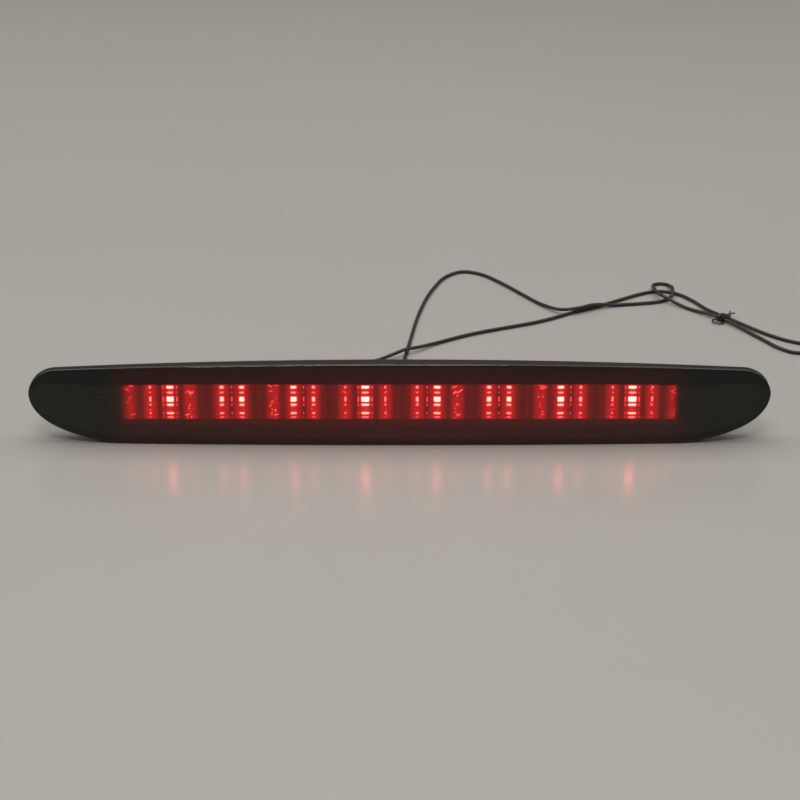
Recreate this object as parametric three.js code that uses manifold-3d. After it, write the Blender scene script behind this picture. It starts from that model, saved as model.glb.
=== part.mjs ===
// A high-level (third) brake light: a smoked lens on a black housing, with an inner optic and eight
// LEDs in a bright reflector behind it, two spring retaining clips and a loose two-wire lead with a
// plug.
//
// Millimetres. X runs along the lamp, the lens faces -Y and +Z is up. The origin is at the middle of
// the lamp's underside, where it stands. "Depth" is measured rearwards from the foremost point of the
// lens, so a depth becomes a Y coordinate by adding FRONT_Y.

import * as THREE from 'three';
import { mergeVertices } from 'three/addons/utils/BufferGeometryUtils.js';
import Module from 'manifold-3d';

const wasm = await Module();
wasm.setup();

// ---------------------------------------------------------------- driving dimensions

const GAP = 0.3;                  // clearance between pieces that touch

// Front outline
const HALF_LENGTH = 185;
const HEIGHT = 41.6;              // at the middle
const TIP_HEIGHT = 25.5;          // height of the pointed ends above the base
const CROWN = 4.0;                // fall of the top edge at CORNER_START
const CORNER_START = 170.5;       // where the upper corners begin
const SWEEP_START = 127.5;        // where the underside begins to sweep up to the tips
const SWEEP_POWER = 2.15;
const TIP_FLAT = 0.15;            // length cut off the mathematical point of each end

// Lens section
const LENS_DEPTH = 11;
const LENS_WALL = 2.2;
const BEZEL = { inset: 2.7, setback: 2.8, wall: 1.2 };
const BOW = 4;                    // how far the ends of the face curve back
const FACE_LEAN = Math.tan(THREE.MathUtils.degToRad(6));
const BROW_LEAN = Math.tan(THREE.MathUtils.degToRad(16));
const BROW_SHARE = 0.77;          // height of the crease under the brow, as a share of the section
const TOP_FILLET = 3;
const BASE_FILLET = 2;
const TOP_DRAFT = 0.4;

// Stack behind the lens, as depths
const SEAL = [LENS_DEPTH + GAP, 12.1];
const FLANGE = [12.4, 14];
const LIP = { back: 13, inset: 0.4 };       // the flange's rim, with a step behind it
const STEP_INSET = 1.3;
const GASKET = [14.3, 16.5];
const GASKET_INSET = 2.2;
const BODY_BACK = 32;
const REAR_END = 35.2;            // the heads of the clip screws are the rearmost points
const FRONT_Y = -REAR_END / 2;

// Housing body
const BODY_HALF = 155;
const BODY_BASE = 5;
const BODY_TOP = 34.2;
const BODY_CORNER = 11;
const BODY_FALL = 0.144;          // share of its height that the body has lost at its back
const BODY_WALL = 2.2;
const FOOT = { x: 70, width: 9, from: 22, to: 31.5 };
const POST = { radius: 2.9, hole: 1.5, holeDepth: 7 };    // stands that take the screws

// Light unit
const LED_COUNT = 8;
const LED_PITCH = 33.2;
const LED_Z = 19.4;
const LED_SIZE = 7.6;
const LED_DOME = 2.4;             // radius
const LED_TIP = 14.2;
const REFLECTOR_HALF = 140.5;
const REFLECTOR_Z = [7.7, 31.1];
const OPTIC = { setback: 4.4, thick: 1.6 };
const REFLECTOR_SETBACK = OPTIC.setback + OPTIC.thick + GAP;
const REFLECTOR_BACK = 19.4;
const CELL_MOUTH = [32, 21];
const CELL_FLOOR = 9;
const CELL_FLOOR_DEPTH = 17.6;
const WINDOW_HALF = 139.5;
const WINDOW_Z = [8.8, 30.4];
const BOARD = { half: 147.5, z: [8.4, 30], from: 20, to: 21.6 };
const BOARD_SCREW = { x: 144.2, z: [12.4, 26], head: 2.5, shank: 1.2, length: 7 };
const HEADER = { half: 6, deep: 3.6, tall: 6 };
const RESISTOR = { xs: [-98, -32, 32, 98], z: 20, length: 6.3, radius: 1.2, waist: 0.95 };
const DIODE = { x: 18, z: 14, length: 5.2, radius: 1.3 };

// Rear fittings
const PLUG_IN = 28.9;             // depth where the grommet and the vent begin, inside the wall
const GROMMET = { z: 16, neck: 4.6, collar: 6.2, tip: 4.4 };
const VENT = { x: 62, z: 18, stem: 2, cap: 4.6, tip: 3.8 };
const CLIP = { z: 19, width: 12, leaf: 0.8, screwX: 144, plate: [137, 154.4], hinge: 155.4 };
const CLIP_SCREW = { head: 2.8, crown: 1.7, shank: 1.2, point: 27.6 };

// Leads, tie and plug
const WIRE_DIAMETER = 2;
const WIRE_SIDES = 8;
const WIRE_STEPS = 80;
const WIRE_SPREAD = 3;            // half the distance between the two wires at the grommet
const TIE = { x: 189.1, y: 166.75, z: 2.1, heading: -52, length: 7, band: 0.7, inner: [2.95, 1.3] };
const TIE_END = { length: 6.5, radius: 0.6, lift: 8, turns: [0.5, 2.8] };
const PLUG = { x: 244, y: 126.5, heading: 45, length: 14, half: 4.2, height: 6, pitch: 3.8 };
const LATCH = { along: [4, 12], half: 1.8, rise: 1 };
const MOUTH = { from: 6.5, half: 1.2 };
const CONTACT = { along: [6.8, 13], half: 0.5 };

// ---------------------------------------------------------------- materials

function finish(color, roughness, metalness = 0, opacity = 1) {
  return new THREE.MeshStandardMaterial({
    color, roughness, metalness, opacity, transparent: opacity < 1,
  });
}

const smoked = () => finish(0x16120f, 0.08, 0, 0.75);
const blackPlastic = () => finish(0x111111, 0.55);
const bezelBlack = () => finish(0x0c0c0c, 0.35);
const chrome = () => finish(0xc9c4c2, 0.12, 1);
const boardGreen = () => finish(0x1d4a2a, 0.5);
const redOptic = () => finish(0x5a0c0e, 0.15, 0, 0.8);
const redEpoxy = () => finish(0xd01010, 0.15);
const steel = () => finish(0xa9abad, 0.35, 0.9);
const rubber = () => finish(0x0f0f0f, 0.85);
const foam = () => finish(0x1b1b1c, 0.95);
const pvc = () => finish(0x101012, 0.5);
const nylon = () => finish(0xd8d6cd, 0.5);
const beige = () => finish(0xc8ad7e, 0.6);
const glassBlack = () => finish(0x181818, 0.3);
const tinPlate = () => finish(0xbfb79a, 0.3, 0.9);

// ---------------------------------------------------------------- solids

const lamp = new THREE.Group();

function add(name, geometry, material) {
  const mesh = new THREE.Mesh(geometry, material);
  mesh.name = name;
  lamp.add(mesh);
  return mesh;
}

/** A closed geometry as a Manifold solid. */
function solid(geometry) {
  const bare = geometry.clone();
  bare.deleteAttribute('normal');
  bare.deleteAttribute('uv');
  const merged = mergeVertices(bare, 1e-4);
  return new wasm.Manifold(new wasm.Mesh({
    numProp: 3,
    vertProperties: new Float32Array(merged.attributes.position.array),
    triVerts: new Uint32Array(merged.index.array),
  }));
}

/** A Manifold solid as a geometry. */
function shape(manifold) {
  const mesh = manifold.getMesh();
  const geometry = new THREE.BufferGeometry();
  geometry.setAttribute('position', new THREE.BufferAttribute(mesh.vertProperties, 3));
  geometry.setIndex(new THREE.BufferAttribute(mesh.triVerts, 1));
  geometry.computeVertexNormals();
  return geometry;
}

const cut = (body, ...tools) => tools.reduce((rest, tool) => rest.subtract(tool), body);
const join = (body, ...more) => more.reduce((whole, piece) => whole.add(piece), body);

/** A box from its limits in X, depth and Z. */
function block([x0, x1], [d0, d1], [z0, z1]) {
  const box = new THREE.BoxGeometry(x1 - x0, d1 - d0, z1 - z0);
  return box.translate((x0 + x1) / 2, FRONT_Y + (d0 + d1) / 2, (z0 + z1) / 2);
}

/** A flat outline in X and Z, extruded from one depth to another. */
function plate(outline, [d0, d1], steps = 1) {
  const geometry = new THREE.ExtrudeGeometry(outline, {
    depth: d1 - d0, bevelEnabled: false, curveSegments: 6, steps,
  });
  return geometry.rotateX(Math.PI / 2).translate(0, FRONT_Y + d1, 0);
}

/** A turned piece on an axis along Y at x, z. The profile is a list of [radius, depth]. */
function turned(profile, x, z, sides = 16) {
  const points = profile.map(([radius, depth]) => new THREE.Vector2(radius, depth));
  return new THREE.LatheGeometry(points, sides).translate(0, FRONT_Y, 0).translate(x, 0, z);
}

function rodAlongY(radius, [d0, d1], x, z, sides = 16) {
  return turned([[0, d0], [radius, d0], [radius, d1], [0, d1]], x, z, sides);
}

// ---------------------------------------------------------------- lamp outline and sections

/** Share of full height left at a distance along a rounded corner. */
function cornerFall(along, length, power) {
  const share = THREE.MathUtils.clamp(along / length, 0, 1);
  return Math.pow(1 - Math.pow(share, power), 1 / power);
}

/** Height of the top edge at x, for an outline drawn inside the lamp's by inset. */
function topEdge(x, inset) {
  const a = Math.abs(x);
  const crown = (at) => HEIGHT - inset - CROWN * (at / CORNER_START) ** 2;
  if (a <= CORNER_START) return crown(a);
  const rise = crown(CORNER_START) - TIP_HEIGHT;
  return TIP_HEIGHT + rise * cornerFall(a - CORNER_START, HALF_LENGTH - inset - CORNER_START, 2);
}

/** Height of the bottom edge at x, for the same outline. */
function bottomEdge(x, inset) {
  const a = Math.abs(x);
  if (a <= SWEEP_START) return inset;
  const length = HALF_LENGTH - inset - SWEEP_START;
  const fall = cornerFall(a - SWEEP_START, length, SWEEP_POWER);
  return TIP_HEIGHT - (TIP_HEIGHT - inset) * fall;
}

/** Stations along X, close together round the corners and wider between them. */
function stations(inset) {
  const length = HALF_LENGTH - inset - CORNER_START;
  const middle = [];
  const spans = 11;
  for (let i = 0; i <= spans; i++) middle.push(CORNER_START * i / spans);
  const corner = [];
  const turns = 5;
  for (let i = 1; i <= turns; i++) corner.push(CORNER_START + length * Math.sin(i / turns * Math.PI / 2));
  corner[turns - 1] -= TIP_FLAT;
  const half = [...middle, ...corner];
  return [...half.slice(1).reverse().map((x) => -x), ...half];
}

function outline(inset) {
  const xs = stations(inset);
  const top = xs.map((x) => new THREE.Vector2(x, topEdge(x, inset)));
  const bottom = xs.map((x) => new THREE.Vector2(x, bottomEdge(x, inset)));
  return new THREE.Shape([...bottom, ...top.reverse()]);
}

/** Height of the crease under the brow at x. */
function creaseAt(x) {
  const base = bottomEdge(x, 0);
  return base + BROW_SHARE * (topEdge(x, 0) - base);
}

/** Depth of the face at x and z: it leans back, more so above the crease, and bows to the ends. */
function faceDepth(x, z) {
  const crease = creaseAt(x);
  const lean = (Math.min(z, crease) - BASE_FILLET) * FACE_LEAN + Math.max(z - crease, 0) * BROW_LEAN;
  return BOW * (x / HALF_LENGTH) ** 2 + lean;
}

/** Points of a quarter round of a radius, from angle a to angle b about [depth, z]. */
function quarter([depth, z], radius, a, b) {
  const turns = 3;
  return Array.from({ length: turns + 1 }, (_, i) => {
    const angle = a + (b - a) * i / turns;
    return [depth + radius * Math.cos(angle), z + radius * Math.sin(angle)];
  });
}

/** Section of the dished shell at x, as [depth, z] points from the rear top round to the rear base. */
function dishSection(x, { inset, setback, rear, round = 1 }) {
  const top = topEdge(x, inset);
  const base = bottomEdge(x, inset);
  const height = top - base;
  const topRadius = Math.min(TOP_FILLET * round, 0.16 * height);
  const baseRadius = Math.min(BASE_FILLET * round, 0.16 * height);
  const topZ = top - Math.min(TOP_DRAFT, 0.04 * height) - topRadius;
  const baseZ = base + baseRadius;
  const creaseZ = Math.min(creaseAt(x), topZ - 0.04 * height);
  const face = (z) => setback + faceDepth(x, z);
  return [
    [rear, top],
    ...quarter([face(topZ) + topRadius, topZ], topRadius, Math.PI / 2, Math.PI),
    [face(creaseZ), creaseZ],
    ...quarter([face(baseZ) + baseRadius, baseZ], baseRadius, Math.PI, Math.PI * 1.5),
    [rear, base],
  ];
}

/** A closed skin over sections of equal length at each x, with flat ends. */
function loft(xs, sectionAt) {
  const rings = xs.map((x) => sectionAt(x).map(([depth, z]) => [x, FRONT_Y + depth, z]));
  const count = rings[0].length;
  const index = [];
  for (let i = 0; i + 1 < rings.length; i++) {
    for (let j = 0; j < count; j++) {
      const next = (j + 1) % count;
      const [a, b, c, d] = [i * count + j, i * count + next, (i + 1) * count + next, (i + 1) * count + j];
      index.push(a, b, c, a, c, d);
    }
  }
  const last = (rings.length - 1) * count;
  for (let j = 1; j + 1 < count; j++) {
    index.push(0, j + 1, j);
    index.push(last, last + j, last + j + 1);
  }
  const geometry = new THREE.BufferGeometry();
  geometry.setAttribute('position', new THREE.Float32BufferAttribute(rings.flat(2), 3));
  geometry.setIndex(index);
  geometry.computeVertexNormals();
  return geometry;
}

const dish = (spec) => loft(stations(spec.inset), (x) => dishSection(x, spec));

// ---------------------------------------------------------------- lens, seal and bezel

function addLens() {
  const skin = solid(dish({ inset: 0, setback: 0, rear: LENS_DEPTH }));
  const hollow = solid(dish({ inset: LENS_WALL, setback: LENS_WALL, rear: LENS_DEPTH + 1, round: 0.5 }));
  add('outer_lens', shape(cut(skin, hollow)), smoked());
}

function addLensSeal() {
  const ring = outline(GAP);
  ring.holes.push(outline(LENS_WALL - GAP));
  add('lens_seal', plate(ring, SEAL), rubber());
}

/** The black mask behind the lens, with one long window for the light unit. */
function addBezel() {
  const { inset, setback, wall } = BEZEL;
  const inside = { inset: inset + wall, setback: setback + wall, rear: SEAL[1] + 1, round: 0.2 };
  const skin = solid(dish({ inset, setback, rear: SEAL[1], round: 0.3 }));
  const window = solid(block([-WINDOW_HALF, WINDOW_HALF], [0, LENS_DEPTH], WINDOW_Z));
  add('bezel', shape(cut(skin, solid(dish(inside)), window)), bezelBlack());
}

// ---------------------------------------------------------------- light unit

const ledX = (i) => (i - (LED_COUNT - 1) / 2) * LED_PITCH;

/** A four-sided funnel from the reflector's mouth to the floor around one LED. */
function cell(x) {
  const mouthDepth = REFLECTOR_SETBACK - 1;
  const depth = CELL_FLOOR_DEPTH - mouthDepth;
  const funnel = new THREE.CylinderGeometry(Math.SQRT1_2, Math.SQRT1_2, depth, 4);
  funnel.rotateY(Math.PI / 4);
  const position = funnel.attributes.position;
  for (let i = 0; i < position.count; i++) {
    const atFloor = position.getY(i) > 0;
    const [width, height] = atFloor ? [CELL_FLOOR, CELL_FLOOR] : CELL_MOUTH;
    position.setX(i, position.getX(i) * width);
    position.setZ(i, position.getZ(i) * height);
  }
  return funnel.translate(x, FRONT_Y + mouthDepth + depth / 2, LED_Z);
}

/** A slab behind the window that follows the lens face at its front, with its rear at rearAt(x, z). */
function slab(setback, rearAt) {
  const spans = 20;
  const xs = Array.from({ length: spans + 1 }, (_, i) => REFLECTOR_HALF * (2 * i / spans - 1));
  const [low, high] = REFLECTOR_Z;
  return loft(xs, (x) => [
    [rearAt(x, high), high],
    [setback + faceDepth(x, high), high],
    [setback + faceDepth(x, low), low],
    [rearAt(x, low), low],
  ]);
}

function addInnerOptic() {
  const rear = OPTIC.setback + OPTIC.thick;
  add('inner_optic', slab(OPTIC.setback, (x, z) => rear + faceDepth(x, z)), redOptic());
}

function addReflector() {
  let tray = solid(slab(REFLECTOR_SETBACK, () => REFLECTOR_BACK));
  const half = LED_SIZE / 2 + GAP;
  for (let i = 0; i < LED_COUNT; i++) {
    const hole = block([ledX(i) - half, ledX(i) + half], [CELL_FLOOR_DEPTH - 1, REFLECTOR_BACK + 1],
      [LED_Z - half, LED_Z + half]);
    tray = cut(tray, solid(cell(ledX(i))), solid(hole));
  }
  add('reflector', shape(tray), chrome());
}

function addLeds() {
  const base = BOARD.from - GAP;
  const shoulder = LED_TIP + LED_DOME;
  const half = LED_SIZE / 2;
  for (let i = 0; i < LED_COUNT; i++) {
    const body = block([ledX(i) - half, ledX(i) + half], [shoulder, base], [LED_Z - half, LED_Z + half]);
    const arc = quarter([shoulder, 0], LED_DOME, Math.PI, Math.PI / 2).map(([depth, r]) => [r, depth]);
    arc[0][0] = 0;
    const dome = turned([...arc, [LED_DOME, base - 1], [0, base - 1]], ledX(i), LED_Z, 12);
    add(`led_${i + 1}`, shape(join(solid(body), solid(dome))), redEpoxy());
  }
}

function screwPlaces() {
  return [-1, 1].flatMap((side) => BOARD_SCREW.z.map((z) => [side * BOARD_SCREW.x, z]));
}

function addBoard() {
  let board = solid(block([-BOARD.half, BOARD.half], [BOARD.from, BOARD.to], BOARD.z));
  const { head, shank, length } = BOARD_SCREW;
  const seat = BOARD.from - GAP;
  const profile = [[0, seat - 1.7], [head - 0.9, seat - 1.7], [head, seat - 0.7], [head, seat],
    [shank, seat], [shank, seat + length], [shank / 3, seat + length + 1], [0, seat + length + 1]];
  screwPlaces().forEach(([x, z], i) => {
    const hole = rodAlongY(shank + 0.4, [BOARD.from - 1, BOARD.to + 1], x, z, 12);
    board = cut(board, solid(hole));
    add(`board_screw_${i + 1}`, turned(profile, x, z, 12), steel());
  });
  add('circuit_board', shape(board), boardGreen());
}

/** An axial component lying along X on the back of the board. */
function axial({ length, radius, waist = radius }, x, z) {
  const half = length / 2;
  const lead = 0.3;
  const profile = [[0, -half - 2], [lead, -half - 2], [lead, -half], [radius, -half + 0.3],
    [radius, -half + 1.3], [waist, -half + 1.8], [waist, half - 1.8], [radius, half - 1.3],
    [radius, half - 0.3], [lead, half], [lead, half + 2], [0, half + 2]];
  const points = profile.map(([r, y]) => new THREE.Vector2(r, y));
  const depth = BOARD.to + GAP + radius;
  return new THREE.LatheGeometry(points, 8).rotateZ(Math.PI / 2).translate(x, FRONT_Y + depth, z);
}

function addComponents() {
  RESISTOR.xs.forEach((x, i) => {
    add(`resistor_${i + 1}`, axial(RESISTOR, x, RESISTOR.z), beige());
  });
  add('diode', axial(DIODE, DIODE.x, DIODE.z), glassBlack());
  const { half, deep, tall } = HEADER;
  const back = BOARD.to + GAP;
  const heights = [GROMMET.z - tall / 2, GROMMET.z + tall / 2];
  add('wire_header', block([-half, half], [back, back + deep], heights), nylon());
  const run = [back + deep + GAP, PLUG_IN - GAP];
  [-WIRE_SPREAD, WIRE_SPREAD].forEach((x, i) => {
    add(`inner_lead_${i + 1}`, rodAlongY(WIRE_DIAMETER / 2, run, x, GROMMET.z, 8), pvc());
  });
}

// ---------------------------------------------------------------- housing

/** Rounded outline of the housing body, drawn inside the body's own outline by inset. */
function bodyOutline(inset) {
  const x = BODY_HALF - inset;
  const low = BODY_BASE + inset;
  const high = BODY_TOP - inset;
  const r = BODY_CORNER - inset;
  const ring = new THREE.Shape();
  ring.moveTo(-x + r, low).lineTo(x - r, low);
  ring.absarc(x - r, low + r, r, -Math.PI / 2, 0);
  ring.lineTo(x, high - r);
  ring.absarc(x - r, high - r, r, 0, Math.PI / 2);
  ring.lineTo(-x + r, high);
  ring.absarc(-x + r, high - r, r, Math.PI / 2, Math.PI);
  ring.lineTo(-x, low + r);
  ring.absarc(-x + r, low + r, r, Math.PI, Math.PI * 1.5);
  return ring;
}

/** The body's outline extruded between two depths, its top curving down towards the back. */
function bodyBlock(inset, span) {
  const geometry = plate(bodyOutline(inset), span, 6);
  const position = geometry.attributes.position;
  for (let i = 0; i < position.count; i++) {
    const behind = Math.max(position.getY(i) - FRONT_Y - FLANGE[1], 0);
    const lost = BODY_FALL * (behind / (BODY_BACK - FLANGE[1])) ** 2;
    position.setZ(i, BODY_BASE + (position.getZ(i) - BODY_BASE) * (1 - lost));
  }
  return geometry;
}

function addHousing() {
  const innerBack = BODY_BACK - BODY_WALL;
  let housing = join(
    solid(plate(outline(LIP.inset), [FLANGE[0], LIP.back])),
    solid(plate(outline(STEP_INSET), [FLANGE[0] + 0.1, FLANGE[1]])),
    solid(bodyBlock(0, [FLANGE[1] - 1, BODY_BACK])),
  );
  for (const side of [-1, 1]) {
    const x = side * FOOT.x;
    const foot = block([x - FOOT.width / 2, x + FOOT.width / 2], [FOOT.from, FOOT.to], [0, BODY_BASE + 1]);
    housing = join(housing, solid(foot));
  }
  housing = cut(housing, solid(bodyBlock(BODY_WALL, [FLANGE[0] - 1, innerBack])));
  const { radius, hole, holeDepth } = POST;
  const post = BOARD.to + GAP;
  for (const [x, z] of screwPlaces()) {
    housing = join(housing, solid(rodAlongY(radius, [post, innerBack + 1], x, z, 12)));
    housing = cut(housing, solid(rodAlongY(hole, [post - 1, post + holeDepth], x, z, 12)));
  }
  for (const x of [-CLIP.screwX, CLIP.screwX]) {
    housing = join(housing, solid(rodAlongY(radius, [innerBack - 4, innerBack + 1], x, CLIP.z, 12)));
    housing = cut(housing, solid(rodAlongY(hole, [innerBack - 3, BODY_BACK + 1], x, CLIP.z, 12)));
  }
  const through = [innerBack - 1, BODY_BACK + 1];
  housing = cut(housing,
    solid(rodAlongY(GROMMET.neck + 0.4, through, 0, GROMMET.z, 20)),
    solid(rodAlongY(VENT.stem + 0.4, through, VENT.x, VENT.z, 12)));
  add('rear_housing', shape(housing), blackPlastic());
}

/** The foam ring round the body, which seals against the vehicle's panel. */
function addGasket() {
  const ring = outline(GASKET_INSET);
  ring.holes.push(bodyOutline(-GAP));
  add('foam_gasket', plate(ring, GASKET), foam());
}

function addRearFittings() {
  const out = BODY_BACK + GAP;
  const { neck, collar, tip } = GROMMET;
  const grommet = [[0, PLUG_IN], [neck, PLUG_IN], [neck, out], [collar, out], [collar, out + 1],
    [tip, out + 2.2], [0, out + 2.2]];
  add('wire_grommet', turned(grommet, 0, GROMMET.z, 20), rubber());
  const { stem, cap } = VENT;
  const vent = [[0, PLUG_IN], [stem, PLUG_IN], [stem, out], [cap, out], [cap, out + 1.2],
    [VENT.tip, out + 2], [0, out + 2]];
  add('vent_cap', turned(vent, VENT.x, VENT.z), blackPlastic());
}

// ---------------------------------------------------------------- retaining clips

/** A strip of the leaf's thickness along [x, depth] points, as wide as the clip. */
function leaf(path) {
  const half = CLIP.leaf / 2;
  const points = path.map(([x, depth]) => new THREE.Vector2(x, depth));
  const offset = (i, side) => {
    const before = points[Math.max(i - 1, 0)];
    const after = points[Math.min(i + 1, points.length - 1)];
    const run = after.clone().sub(before).normalize();
    return points[i].clone().add(new THREE.Vector2(-run.y, run.x).multiplyScalar(side * half));
  };
  const near = points.map((_, i) => offset(i, 1));
  const far = points.map((_, i) => offset(i, -1));
  const geometry = new THREE.ExtrudeGeometry(new THREE.Shape([...near, ...far.reverse()]), {
    depth: CLIP.width, bevelEnabled: false,
  });
  return geometry.translate(0, FRONT_Y, CLIP.z - CLIP.width / 2);
}

/** The same geometry on the other side of the lamp. */
function mirrored(geometry) {
  const other = geometry.index ? geometry.toNonIndexed() : geometry.clone();
  const position = other.attributes.position;
  for (let i = 0; i < position.count; i += 3) {
    const corners = [0, 2, 1].map((k) => new THREE.Vector3().fromBufferAttribute(position, i + k));
    corners.forEach((corner, k) => position.setXYZ(i + k, -corner.x, corner.y, corner.z));
  }
  other.computeVertexNormals();
  return other;
}

function addClips() {
  const face = BODY_BACK + GAP;
  const [x0, x1] = CLIP.plate;
  const base = shape(cut(
    solid(block([x0, x1], [face, face + CLIP.leaf], [CLIP.z - CLIP.width / 2, CLIP.z + CLIP.width / 2])),
    solid(rodAlongY(POST.hole, [face - 1, face + 2], CLIP.screwX, CLIP.z, 12)),
  ));
  const bend = face + CLIP.leaf / 2;
  const arm = leaf([[x1 + GAP, bend], [CLIP.hinge + 1, bend - 0.1], [158.8, 30.8], [166.2, 25.4],
    [166.9, 24.4], [166.4, 23.3], [163.8, 21.4]]);
  const { head, crown, shank, point } = CLIP_SCREW;
  const seat = face + CLIP.leaf + GAP;
  const screw = turned([[0, point], [shank, point + 0.8], [shank, seat], [head, seat],
    [head, seat + 0.7], [crown, REAR_END], [0, REAR_END]], CLIP.screwX, CLIP.z, 12);
  const pieces = { clip_base: base, clip_arm: arm, clip_screw: screw };
  for (const [name, geometry] of Object.entries(pieces)) {
    add(`${name}_right`, geometry, steel());
    add(`${name}_left`, mirrored(geometry), steel());
  }
}

// ---------------------------------------------------------------- leads and plug

// Both leads leave the grommet, drop to the surface behind the lamp, cross, run side by side, part
// again, pass through the tie and end in the plug. One lead makes a small loop over the other.
const LEAD_POSITIVE = [
  [3, 17.4, 16], [3, 23, 15.8], [3, 30, 11.5], [2.7, 36, 5.6], [2.4, 42, 2.2], [2, 50, 1.25],
  [0.6, 74, 1.12], [6, 130, 1.1], [12, 180, 1.1], [20, 220, 1.1], [29.5, 246, 1.1],
  [39.5, 255, 1.1], [50.5, 250, 1.1], [63, 232, 1.1], [75, 210, 1.1], [84.5, 193, 1.2],
  [94.5, 179.6, 2.6], [100, 177.6, 3.4], [107, 180.3, 3.5], [114, 184.9, 3.5], [120, 188.3, 2.7],
  [126, 190.8, 1.3], [134, 192.6, 1.1], [153, 196.8, 1.1], [159.6, 200.6, 1.15],
  [163.8, 206, 1.9], [165.5, 212, 3.4], [165.8, 218, 3.3], [165.4, 225.6, 1.6],
  [163.8, 229.7, 1.2], [160.2, 231.3, 1.1], [156.6, 229.7, 1.2], [155, 225.6, 1.7],
  [154.6, 218, 3.4], [155, 211, 3.6], [156.4, 204, 3.7], [159.4, 198.8, 3.6],
  [164.6, 193.2, 2.1], [171.5, 185.6, 1.1], [185, 169.4, 2.2], [190.6, 162.2, 2],
  [205.5, 135, 1.1], [213.5, 119, 1.1], [221, 111.5, 1.1], [230, 112, 1.1], [238, 117.6, 1.9],
  [245.1, 124.9, 3],
];
const LEAD_NEGATIVE = [
  [-3, 17.4, 16], [-3.4, 23, 15.8], [-6, 30, 11.5], [-10.5, 36.4, 5.6], [-16.5, 41.4, 2.2],
  [-25, 45.4, 1.2], [-38, 50, 1.1], [-50, 57.6, 1.1], [-55, 68, 1.1], [-51.6, 78.6, 1.1],
  [-41, 86.4, 1.1], [-26, 92.4, 1.1], [-13, 98.4, 1.2], [-4, 104, 2.6], [3, 109.4, 3.6],
  [10, 116, 2.4], [21, 126.4, 1.25], [40, 140.6, 1.12], [59, 151, 1.1], [78, 160.6, 1.1],
  [88, 167.2, 1.1], [95, 172.8, 1.1], [100.5, 177.2, 1.1], [107, 181.6, 1.1], [114, 186.4, 1.1],
  [121, 191.8, 1.1], [134, 202.4, 1.1], [143, 209.8, 1.1], [152, 215.4, 1.1], [161, 216.6, 1.1],
  [169, 211.2, 1.1], [176, 199.2, 1.1], [181.8, 184.4, 1.2], [187.6, 171.4, 2.2],
  [193.2, 164, 2], [210, 142, 1.1], [219, 132, 1.1], [228, 126, 1.1], [235.5, 123.4, 1.9],
  [242.4, 127.6, 3],
];

function lead(points) {
  const places = points.map((p) => new THREE.Vector3(...p));
  const route = new THREE.CatmullRomCurve3(places, false, 'centripetal');
  const section = new THREE.Shape();
  for (let i = 0; i < WIRE_SIDES; i++) {
    const angle = (i + 0.5) / WIRE_SIDES * Math.PI * 2;
    const [x, y] = [Math.cos(angle), Math.sin(angle)].map((v) => v * WIRE_DIAMETER / 2);
    if (i === 0) section.moveTo(x, y);
    else section.lineTo(x, y);
  }
  return new THREE.ExtrudeGeometry(section, {
    steps: WIRE_STEPS, bevelEnabled: false, extrudePath: route,
  });
}

function addLeads() {
  add('positive_lead', lead(LEAD_POSITIVE), pvc());
  add('negative_lead', lead(LEAD_NEGATIVE), pvc());
}

/** Places a piece drawn along +X at a point, turned by a heading in degrees about Z. */
function onLead({ x, y, heading }, geometry, z = 0) {
  return geometry.rotateZ(THREE.MathUtils.degToRad(heading)).translate(x, y, z);
}

/** A box from its limits along, across and up, for the pieces on the leads. */
function bar([a0, a1], [b0, b1], [c0, c1]) {
  return new THREE.BoxGeometry(a1 - a0, b1 - b0, c1 - c0)
    .translate((a0 + a1) / 2, (b0 + b1) / 2, (c0 + c1) / 2);
}

/** A band round both leads with two twisted ends. */
function addTie() {
  const ring = (width, height) => {
    const path = new THREE.Shape();
    const run = width - height;
    path.absarc(run, 0, height, -Math.PI / 2, Math.PI / 2);
    path.absarc(-run, 0, height, Math.PI / 2, Math.PI * 1.5);
    return path;
  };
  const [width, height] = TIE.inner;
  const outer = ring(width + TIE.band, height + TIE.band);
  outer.holes.push(ring(width, height));
  const band = new THREE.ExtrudeGeometry(outer, {
    depth: TIE.length, bevelEnabled: false, curveSegments: 8,
  });
  band.translate(0, 0, -TIE.length / 2).rotateX(Math.PI / 2).rotateZ(Math.PI / 2);
  const { length, radius, lift, turns } = TIE_END;
  const ends = turns.map((turn) => {
    const rod = new THREE.CylinderGeometry(radius, radius - 0.1, length, 8).translate(0, length / 2, 0);
    const start = Math.sign(Math.cos(turn)) * (width + TIE.band / 2);
    return rod.rotateX(THREE.MathUtils.degToRad(lift)).rotateZ(turn).translate(0, start, 0);
  });
  add('wire_tie', onLead(TIE, shape(join(solid(band), ...ends.map(solid))), TIE.z), pvc());
}

/** The two-way plug on the end of the leads, its contacts set back inside open mouths. */
function addPlug() {
  const { half, height, length, pitch } = PLUG;
  let body = join(
    solid(bar([0, length], [-half, half], [0, height])),
    solid(bar(LATCH.along, [-LATCH.half, LATCH.half], [height - 0.5, height + LATCH.rise])),
  );
  [-1, 1].forEach((side, i) => {
    const across = side * pitch / 2;
    const square = (size) => [[across - size, across + size], [height / 2 - size, height / 2 + size]];
    body = cut(body, solid(bar([MOUTH.from, length + 1], ...square(MOUTH.half))));
    add(`plug_contact_${i + 1}`, onLead(PLUG, bar(CONTACT.along, ...square(CONTACT.half))), tinPlate());
  });
  add('plug_body', onLead(PLUG, shape(body)), nylon());
}

addLens();
addLensSeal();
addBezel();
addInnerOptic();
addReflector();
addLeds();
addBoard();
addComponents();
addHousing();
addGasket();
addRearFittings();
addClips();
addLeads();
addTie();
addPlug();

export default lamp;
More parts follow.
